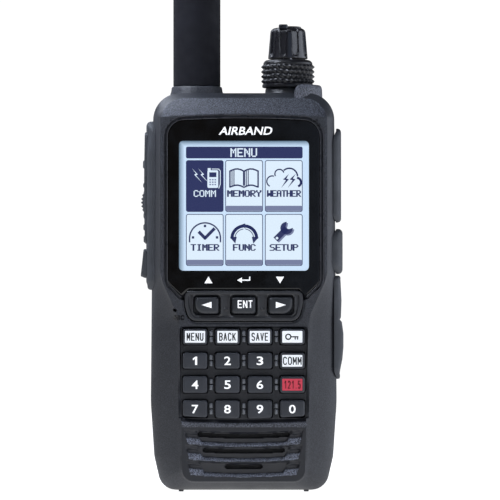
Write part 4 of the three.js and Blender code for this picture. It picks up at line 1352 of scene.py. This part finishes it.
def ptt():
    """The push-to-talk button: a toothed hill in the middle and five cross bars."""
    (_, d0, z0), (_, d1, z1) = span("ptt_button")
    bars = [(109.7, 1.5, 0.45), (102.7, 0.9, 0.35), (92.4, 1.0, 0.3), (88.6, 1.2, 0.4), (84.6, 1.3, 0.4)]
    hill_z = 96.9

    def relief(a, b):
        height = 0.25 * np.sin(math.pi * (b - z0) / (z1 - z0))
        across = smooth((3.6 - np.abs(a - (d0 + d1) / 2)) / 0.8)
        for centre, half, rise in bars:
            height = height + rise * smooth((half - np.abs(b - centre)) / 0.5) * across
        hill = np.maximum(0, 1 - ((b - hill_z) / 3.9) ** 2)
        teeth = 0.5 + 0.5 * np.cos(2 * math.pi * (b - hill_z) / 1.25)
        return height + hill * (0.5 + 0.65 * teeth) * across

    block = (rectangle(d0, z0, d1, z1, 1.8), 33.2, 32.05, 0.6)
    side_pad("ptt_cap", "ptt", "ptt_button", "left", block, relief, 0.3, leans=False)


def monitor():
    """The smaller side button, a wedge that stands out towards its foot."""
    (_, d0, z0), (_, d1, z1) = span("monitor_button")

    def relief(a, b):
        return 0.95 * np.clip((z1 - b) / (z1 - z0 - 0.9), 0, 1) - 0.7 * smooth((z0 + 0.7 - b) / 0.7)

    block = (rectangle(d0, z0, d1, z1, 1.5), 33.6, 32.4, 0.5)
    side_pad("monitor_cap", "monitor", "monitor_button", "left", block, relief, 0.35, leans=False)


def right_side():
    inner = 31.15
    corners = [(4.0, 90.2, 3.0), (16.2, 90.2, 2.5), (16.2, 121.8, 2.5), (4.0, 121.8, 5.0)]
    block = (corners, 32.65, inner, 1.2)
    side_pad("mic_sp_cover_leaf", "mic_sp_cover", "mic_sp_flap", "right", block, plug=MIC_SP)
    corners = [(3.6, 72.9, 4.0), (16.2, 72.9, 2.0), (16.2, 88.1, 2.5), (3.6, 88.1, 4.0)]
    side_pad("dc_cover_leaf", "dc_cover", "dc_flap", "right", (corners, 33.15, inner, 1.5), plug=DC)
    heights = [37.7, 40.5, 44.5, 48.5, 53, 57.0, 57.6, 58.4, 64, 72]
    reaches = [31.9, 32.3, 33.1, 33.45, 33.45, 32.9, 32.2, 32.6, 32.8, 32.4]

    def swell(a, b):
        return np.interp(b, heights, reaches) - 32.8

    corners = [(4.6, 37.7, 4.0), (16.2, 37.7, 3.0), (16.2, 72.4, 2.0), (4.6, 72.4, 2.0)]
    side_pad("grip_pad", ROOT, "side_grip", "right", (corners, 32.8, inner, 1.2), swell)


def jack_faces():
    """The two jacks' outer faces, which show when their covers are open."""
    for name, (z, radius) in (("mic_sp_face", MIC_SP), ("dc_face", DC)):
        wall = float(half_width(CASE_OUTLINE, z))

        def part(suffix, profile, caps, material, slot):
            rings = rod([(wall + out, r) for out, r in profile], JACK_DEPTH, z, 32)
            piece(name + suffix, ROOT, lofted(rings, caps), material, sharp=30)

        rim = [(-0.4, radius + 1.2), (0.1, radius + 1.2), (0.25, radius + 1.05), (0.25, radius + 0.5)]
        rim += [(0.05, radius + 0.3), (-0.4, radius + 0.3)]
        part("_rim", rim, False, RING, "knob_plastic")
        part("_floor", [(-0.5, radius + 0.35), (0.04, radius + 0.35)], True, GLASS, "knob_plastic")
        contact = [(-0.4, 1.5), (0.08, 1.5), (0.14, 1.42), (0.14, 1.0), (-0.4, 0.9)]
        part("_contact", contact, False, JACK_METAL, "steel")


left_frame()
ptt()
monitor()
right_side()
jack_faces()


# ---------------------------------------------------------------- rear case, battery and clip
PIN_DEPTH, PIN_Z = 40.0, 122.5


def rear_outline(inset, low, high):
    """The case's outline, kept between two heights."""
    low = BASE + inset + 1e-3 if low is None else low
    high = TOP - inset - 1e-3 if high is None else high
    points = []
    for x, z in resampled(rounded(CASE_OUTLINE, inset, 12), 1.5):
        z = min(max(z, low), high)
        reach = float(half_width(CASE_OUTLINE, min(max(z, BASE + 0.01), TOP - 0.01))) - inset
        points.append((math.copysign(min(abs(x), reach), x), z))
    return points


def rolled(low, high, front):
    """A part of the rear case between two heights, with a rolled rear edge."""
    roll = 2.4
    rings = [in_panel(rear_outline(0, low, high), front)]
    for k in range(6):
        a = math.pi / 2 * k / 5
        outline = rear_outline(roll * (1 - math.cos(a)), low, high)
        rings.append(in_panel(outline, BACK - roll + roll * math.sin(a)))
    return lofted(rings)


def rear_case():
    below, inside = rear_outline(0, BASE, BAY_TOP - 0.4), rear_outline(2.3, BASE + 2.3, BAY_TOP - 3)
    plate = [(inside, SEAM - 1.5), (inside, SEAM + 0.3), (below, SEAM + 0.3), (below, 21.445)]
    upper = rear_outline(2.3, BAY_TOP + 2, TOP - 2.3)
    tongue = [(upper, TOP_SEAM - 1.5), (upper, TOP_SEAM + 1)]
    parts = [lofted([in_panel(*ring) for ring in part]) for part in (plate, tongue)]
    parts.append(rolled(BAY_TOP - 0.1, None, TOP_SEAM + 0.3))
    parts.append(rolled(104.9, BAY_TOP - 0.4, 21.0))
    parts.append(rolled(None, 8.0, 21.0))
    piece("rear_shell", ROOT, merged(*parts), REAR, "rear_case", 35)
    for x, side in ((-21, "left"), (21, "right")):
        for depth, end in ((7, "front"), (24, "rear")):
            foot = cushion(rectangle(x - 0.8, depth, x + 0.8, depth + 7, 0.3), in_plan, 0.0, 1.6, 0.15)
            piece(f"foot_{side}_{end}", ROOT, foot, REAR)


def battery():
    """The pack's rear face, with ribbed grips at both edges and a shallow field for a label."""
    _, (_, d1, z1) = span("battery_case")

    def relief(a, b):
        edge_bars = smooth((np.abs(a) - 21.5) / 0.4) * smooth((28.2 - np.abs(a)) / 0.4)
        ribs = 0.5 + 0.5 * np.cos(2 * math.pi * b / 3.2)
        zone = smooth((b - 14) / 1) * smooth((62 - b) / 1)
        label = rect_distance(a, b, 0, 44, 17.5, 24, 1.5)
        return -0.55 * edge_bars * ribs * zone - 0.35 * smooth(-label / 0.3)

    corners = ((z1, 2), (30, 40), (14, 8), (8.4, 1.5))
    right = [(float(half_width(CASE_OUTLINE, z)) - 0.35, z, r) for z, r in corners]
    shape = relief_block("back", mirrored(right), d1, 21.45, 2.6, relief, 0.8)
    piece("battery_shell", "battery_pack", shape, REAR, "battery_case", 40)


def clip_tongue():
    """A bent strip with a grip of fine ribs, and a barrel on each side of the pin."""
    top = span("clip_tongue")[1][2] - 0.3
    path = [(top, 41.3), (128.0, 41.6), (PIN_Z, 42.3), (117.0, 42.9), (111.0, 42.5), (104.0, 41.6)]
    path += [(96.0, 41.0), (86.0, 40.6), (80.0, 41.2), (76.6, 40.9)]
    zs = np.linspace(path[0][0], path[-1][0], 90)
    ds = np.interp(-zs, [-p[0] for p in path], [p[1] for p in path])
    ds = np.convolve(np.pad(ds, 3, mode="edge"), np.ones(7) / 7, mode="valid")
    t = 0.95  # half the strip's thickness
    rings = []
    for z, d in zip(zs, ds):
        end = min(z - zs[-1], 4.0) / 4.0
        half = 9.4 - 3.2 * (1 - math.sqrt(max(0.0, 1 - (1 - end) ** 2)))
        rib = 0.35 * (1 + math.cos(2 * math.pi * (z - 90) / 2.4)) / 2 if 82 < z < 98 else 0.0
        right = [(half - 0.4, d - t), (half, d - t + 0.4), (half, d + t - 0.5), (half - 0.5, d + t)]
        right += [(half - 2.5, d + t), (half - 3.0, d + t - rib)]
        section = right + [(-x, depth) for x, depth in reversed(right)]
        rings.append([(x, depth, z) for x, depth in section[-2:] + section[:-2]])
    barrels = []
    for side in (-1, 1):
        profile = [(side * x, r) for x, r in ((5.3, 2.0), (5.5, 2.3), (9.1, 2.3), (9.3, 2.0))]
        barrels.append(lofted(rod(profile, PIN_DEPTH, PIN_Z)))
    shape = merged(lofted(rings), *barrels)
    piece("clip_tongue_body", "belt_clip", shape, HARD_BLACK, "clip_tongue", 40)


def clip_bracket():
    """A plate with two ears."""
    parts = [relief_block("back", rectangle(-12, 107.8, 12, 127, 2), 34.9, 33.3, 0.4, None, 0.8)]
    ear = [(34.5, PIN_Z - 5.5, 0.5), (PIN_DEPTH + 2.1, PIN_Z - 2.4, 2), (PIN_DEPTH + 2.1, PIN_Z + 2.4, 2)]
    ear += [(34.5, PIN_Z + 4.3, 0.5)]
    for side in (-1, 1):
        levels = ((0.2, 10.1), (0, 10.3), (0, 11.4), (0.3, 11.7))
        parts.append(lofted([in_side(rounded(ear, inset, 8), side * x) for inset, x in levels]))
    piece("clip_bracket_body", ROOT, merged(*parts), HARD_BLACK, "clip_bracket", 40)


def clip_spring():
    """The pin, and a coil of wire round it whose end presses on the bracket."""
    turns, radius, steps = 7, 1.75, 126
    path = [(-4.4, 35.4, PIN_Z - 4.5), (-4.4, 38.0, PIN_Z - 2.2)]
    for k in range(steps + 1):
        a = -math.pi * 0.6 + 2 * math.pi * turns * k / steps
        path.append((-4.3 + 8.6 * k / steps, PIN_DEPTH + radius * math.cos(a), PIN_Z + radius * math.sin(a)))
    piece("clip_spring_wire", ROOT, wire(0.4, path, 10), STEEL, "clip_spring", 60)
    right = [(11.8, 1.0), (12.0, 1.5), (12.4, 1.3), (12.5, 0.6)]
    profile = [(-x, r) for x, r in reversed(right)] + right
    piece("clip_pin_rod", ROOT, lofted(rod(profile, PIN_DEPTH, PIN_Z)), BLACK_STEEL, "clip_pin", 40)


def screw(node, x, z, seat, radius, head, shank, length):
    """A machine screw in the back, whose head has a six-lobed recess."""
    turn = [2 * math.pi * k / 72 for k in range(72)]

    def ring(level, middle, lobe=0.0):
        reach = [middle + lobe * math.cos(6 * a) for a in turn]
        return [(x + r * math.cos(a), seat + level, z + r * math.sin(a)) for a, r in zip(turn, reach)]

    profile = [(-length, shank * 0.7), (0.5 - length, shank), (0, shank), (0, radius), (head * 0.45, radius)]
    profile += [(head * 0.8, radius * 0.93), (head, radius * 0.75)]
    recess = [(head, 1.05), (head - 0.08, 1.0), (head * 0.25, 0.92)]
    rings = [ring(*at) for at in profile]
    rings += [ring(level, radius * scale * 0.47, radius * scale * 0.07) for level, scale in recess]
    piece(node + "_body", ROOT, lofted(rings), BLACK_STEEL, node, 30)


def latch():
    body = cushion(rectangle(-8.9, 1.3, 8.9, 4.9, 0.6), in_panel, 32.9, 27.6, 0.4)
    finger = cushion(rectangle(-7.5, 1.8, 7.5, 3.4, 0.6), in_panel, 33.7, 32.5, 0.3)
    tooth = cushion(rectangle(-4, 28.6, 4, 30.8, 0.3), in_plan, 8.2, 4.7, 0.25)
    shape = merged(body, finger, tooth)
    piece("latch_slider", "latch", shape, HARD_BLACK, "battery_latch", 40)


rear_case()
battery()
clip_tongue()
clip_bracket()
clip_spring()
for number, x in ((1, -5.5), (2, 5.5)):
    screw(f"clip_screw_{number}", x, 112.5, 34.95, 2.2, 1.2, 1.1, 4.2)
for number, x, z in ((1, -24, 99.5), (2, 24, 14.5)):
    screw(f"case_screw_{number}", x, z, 20.4, 1.4, 0.8, 0.8, 1.0)
latch()

# the CAD nodes that stay as they are get a finished material
for names, material in (
    (("keypad_mat",), SILICONE),
    (("main_board", "side_switches"), BOARD),
    (("rf_shield", "dual_encoder", "volume_shaft", "selector_shaft", "microphone"), STEEL),
    (("speaker", "mic_sp_jack", "dc_jack"), HARD_BLACK),
    (("speaker_mesh",), CLOTH),
    (("antenna_jack", "antenna_insert"), BRASS),
    (("battery_lid",), REAR),
    (("battery_cell_lower", "battery_cell_upper"), CELL),
):
    for node in names:
        mesh = frame["nodes"][node].data
        mesh.materials.clear()
        mesh.materials.append(material)


# ---------------------------------------------------------------- camera, floor and lights
WORLD_FILL = 0.07
FLOOR_GLOW = 1.0
COOL = (0.90, 0.97, 1.12)


def camera():
    data = bpy.data.cameras.new("camera")
    data.lens = 250
    data.sensor_width = 36
    frame_width = 0.1667
    distance = frame_width / data.sensor_width * data.lens
    thing = bpy.data.objects.new("camera", data)
    thing.location = (0.0021, FRONT * MM - distance, 0.081)
    thing.rotation_euler = (math.pi / 2, 0, 0)
    data.clip_start, data.clip_end = 0.05, 50
    bpy.context.scene.collection.objects.link(thing)
    bpy.context.scene.camera = thing


def softbox(name, place, target, size, radiance, color=(1, 1, 1)):
    """An area light, described by how bright its face is."""
    data = bpy.data.lights.new(name, "AREA")
    data.shape = "RECTANGLE"
    data.size, data.size_y = size
    data.energy = radiance * math.pi * size[0] * size[1]
    data.color = color
    thing = bpy.data.objects.new(name, data)
    thing.location = place
    thing.rotation_euler = (Vector(target) - Vector(place)).to_track_quat("-Z", "Y").to_euler()
    thing.visible_camera = False
    bpy.context.scene.collection.objects.link(thing)
    return thing


def world():
    """White to the camera and dim to the object."""
    made = bpy.data.worlds.new("studio")
    made.use_nodes = True
    tree = made.node_tree
    background = tree.nodes["Background"]
    path = tree.nodes.new("ShaderNodeLightPath")
    level = tree.nodes.new("ShaderNodeMapRange")
    level.inputs["To Min"].default_value = WORLD_FILL
    level.inputs["To Max"].default_value = 1.05
    tree.links.new(path.outputs["Is Camera Ray"], level.inputs["Value"])
    tree.links.new(level.outputs["Result"], background.inputs["Strength"])
    background.inputs["Color"].default_value = (1, 1, 1, 1)
    bpy.context.scene.world = made


def floor():
    s = Shader("floor", (0.5, 0.5, 0.5, 1), 0.8, Emission_Color=(1, 1, 1, 1), Emission_Strength=FLOOR_GLOW)
    mesh = bpy.data.meshes.new("floor")
    radius, count = 0.55, 96
    turn = [2 * math.pi * k / count for k in range(count)]
    ring = [(radius * math.cos(a), radius * math.sin(a), 0) for a in turn]
    mesh.from_pydata(ring, [], [tuple(range(count))])
    mesh.materials.append(s.material)
    thing = bpy.data.objects.new("floor", mesh)
    bpy.context.scene.collection.objects.link(thing)


camera()
world()
floor()
bpy.context.scene.view_settings.view_transform = "Standard"
softbox("overhead", (-0.08, -0.33, 0.72), (-0.01, 0, 0.1), (0.4, 0.4), 1.0, COOL)
softbox("top", (-0.3, 0.2, 0.6), (0, 0.01, 0.13), (0.3, 0.3), 7.5, COOL)
near_left = softbox("near_left", (-0.10, -0.065, 0.245), (-0.014, 0, 0.124), (0.05, 0.05), 5.0, COOL)
near_left.data.spread = math.radians(70)
softbox("flute_strip", (0.55, -0.51, 0.24), (0.015, -0.006, 0.15), (0.14, 0.5), 2.8, COOL)
softbox("left_strip", (-0.7, 0.4, 0.2), (0, 0, 0.08), (0.8, 0.6), 0.5, COOL)
softbox("right_strip", (0.75, 0.05, 0.25), (0, 0, 0.08), (0.9, 0.6), 1.9, COOL)
softbox("front_right", (0.75, -3.1, 0.1), (0, 0, 0.1), (1.35, 1.8), 0.4, (0.75, 1.0, 1.45))
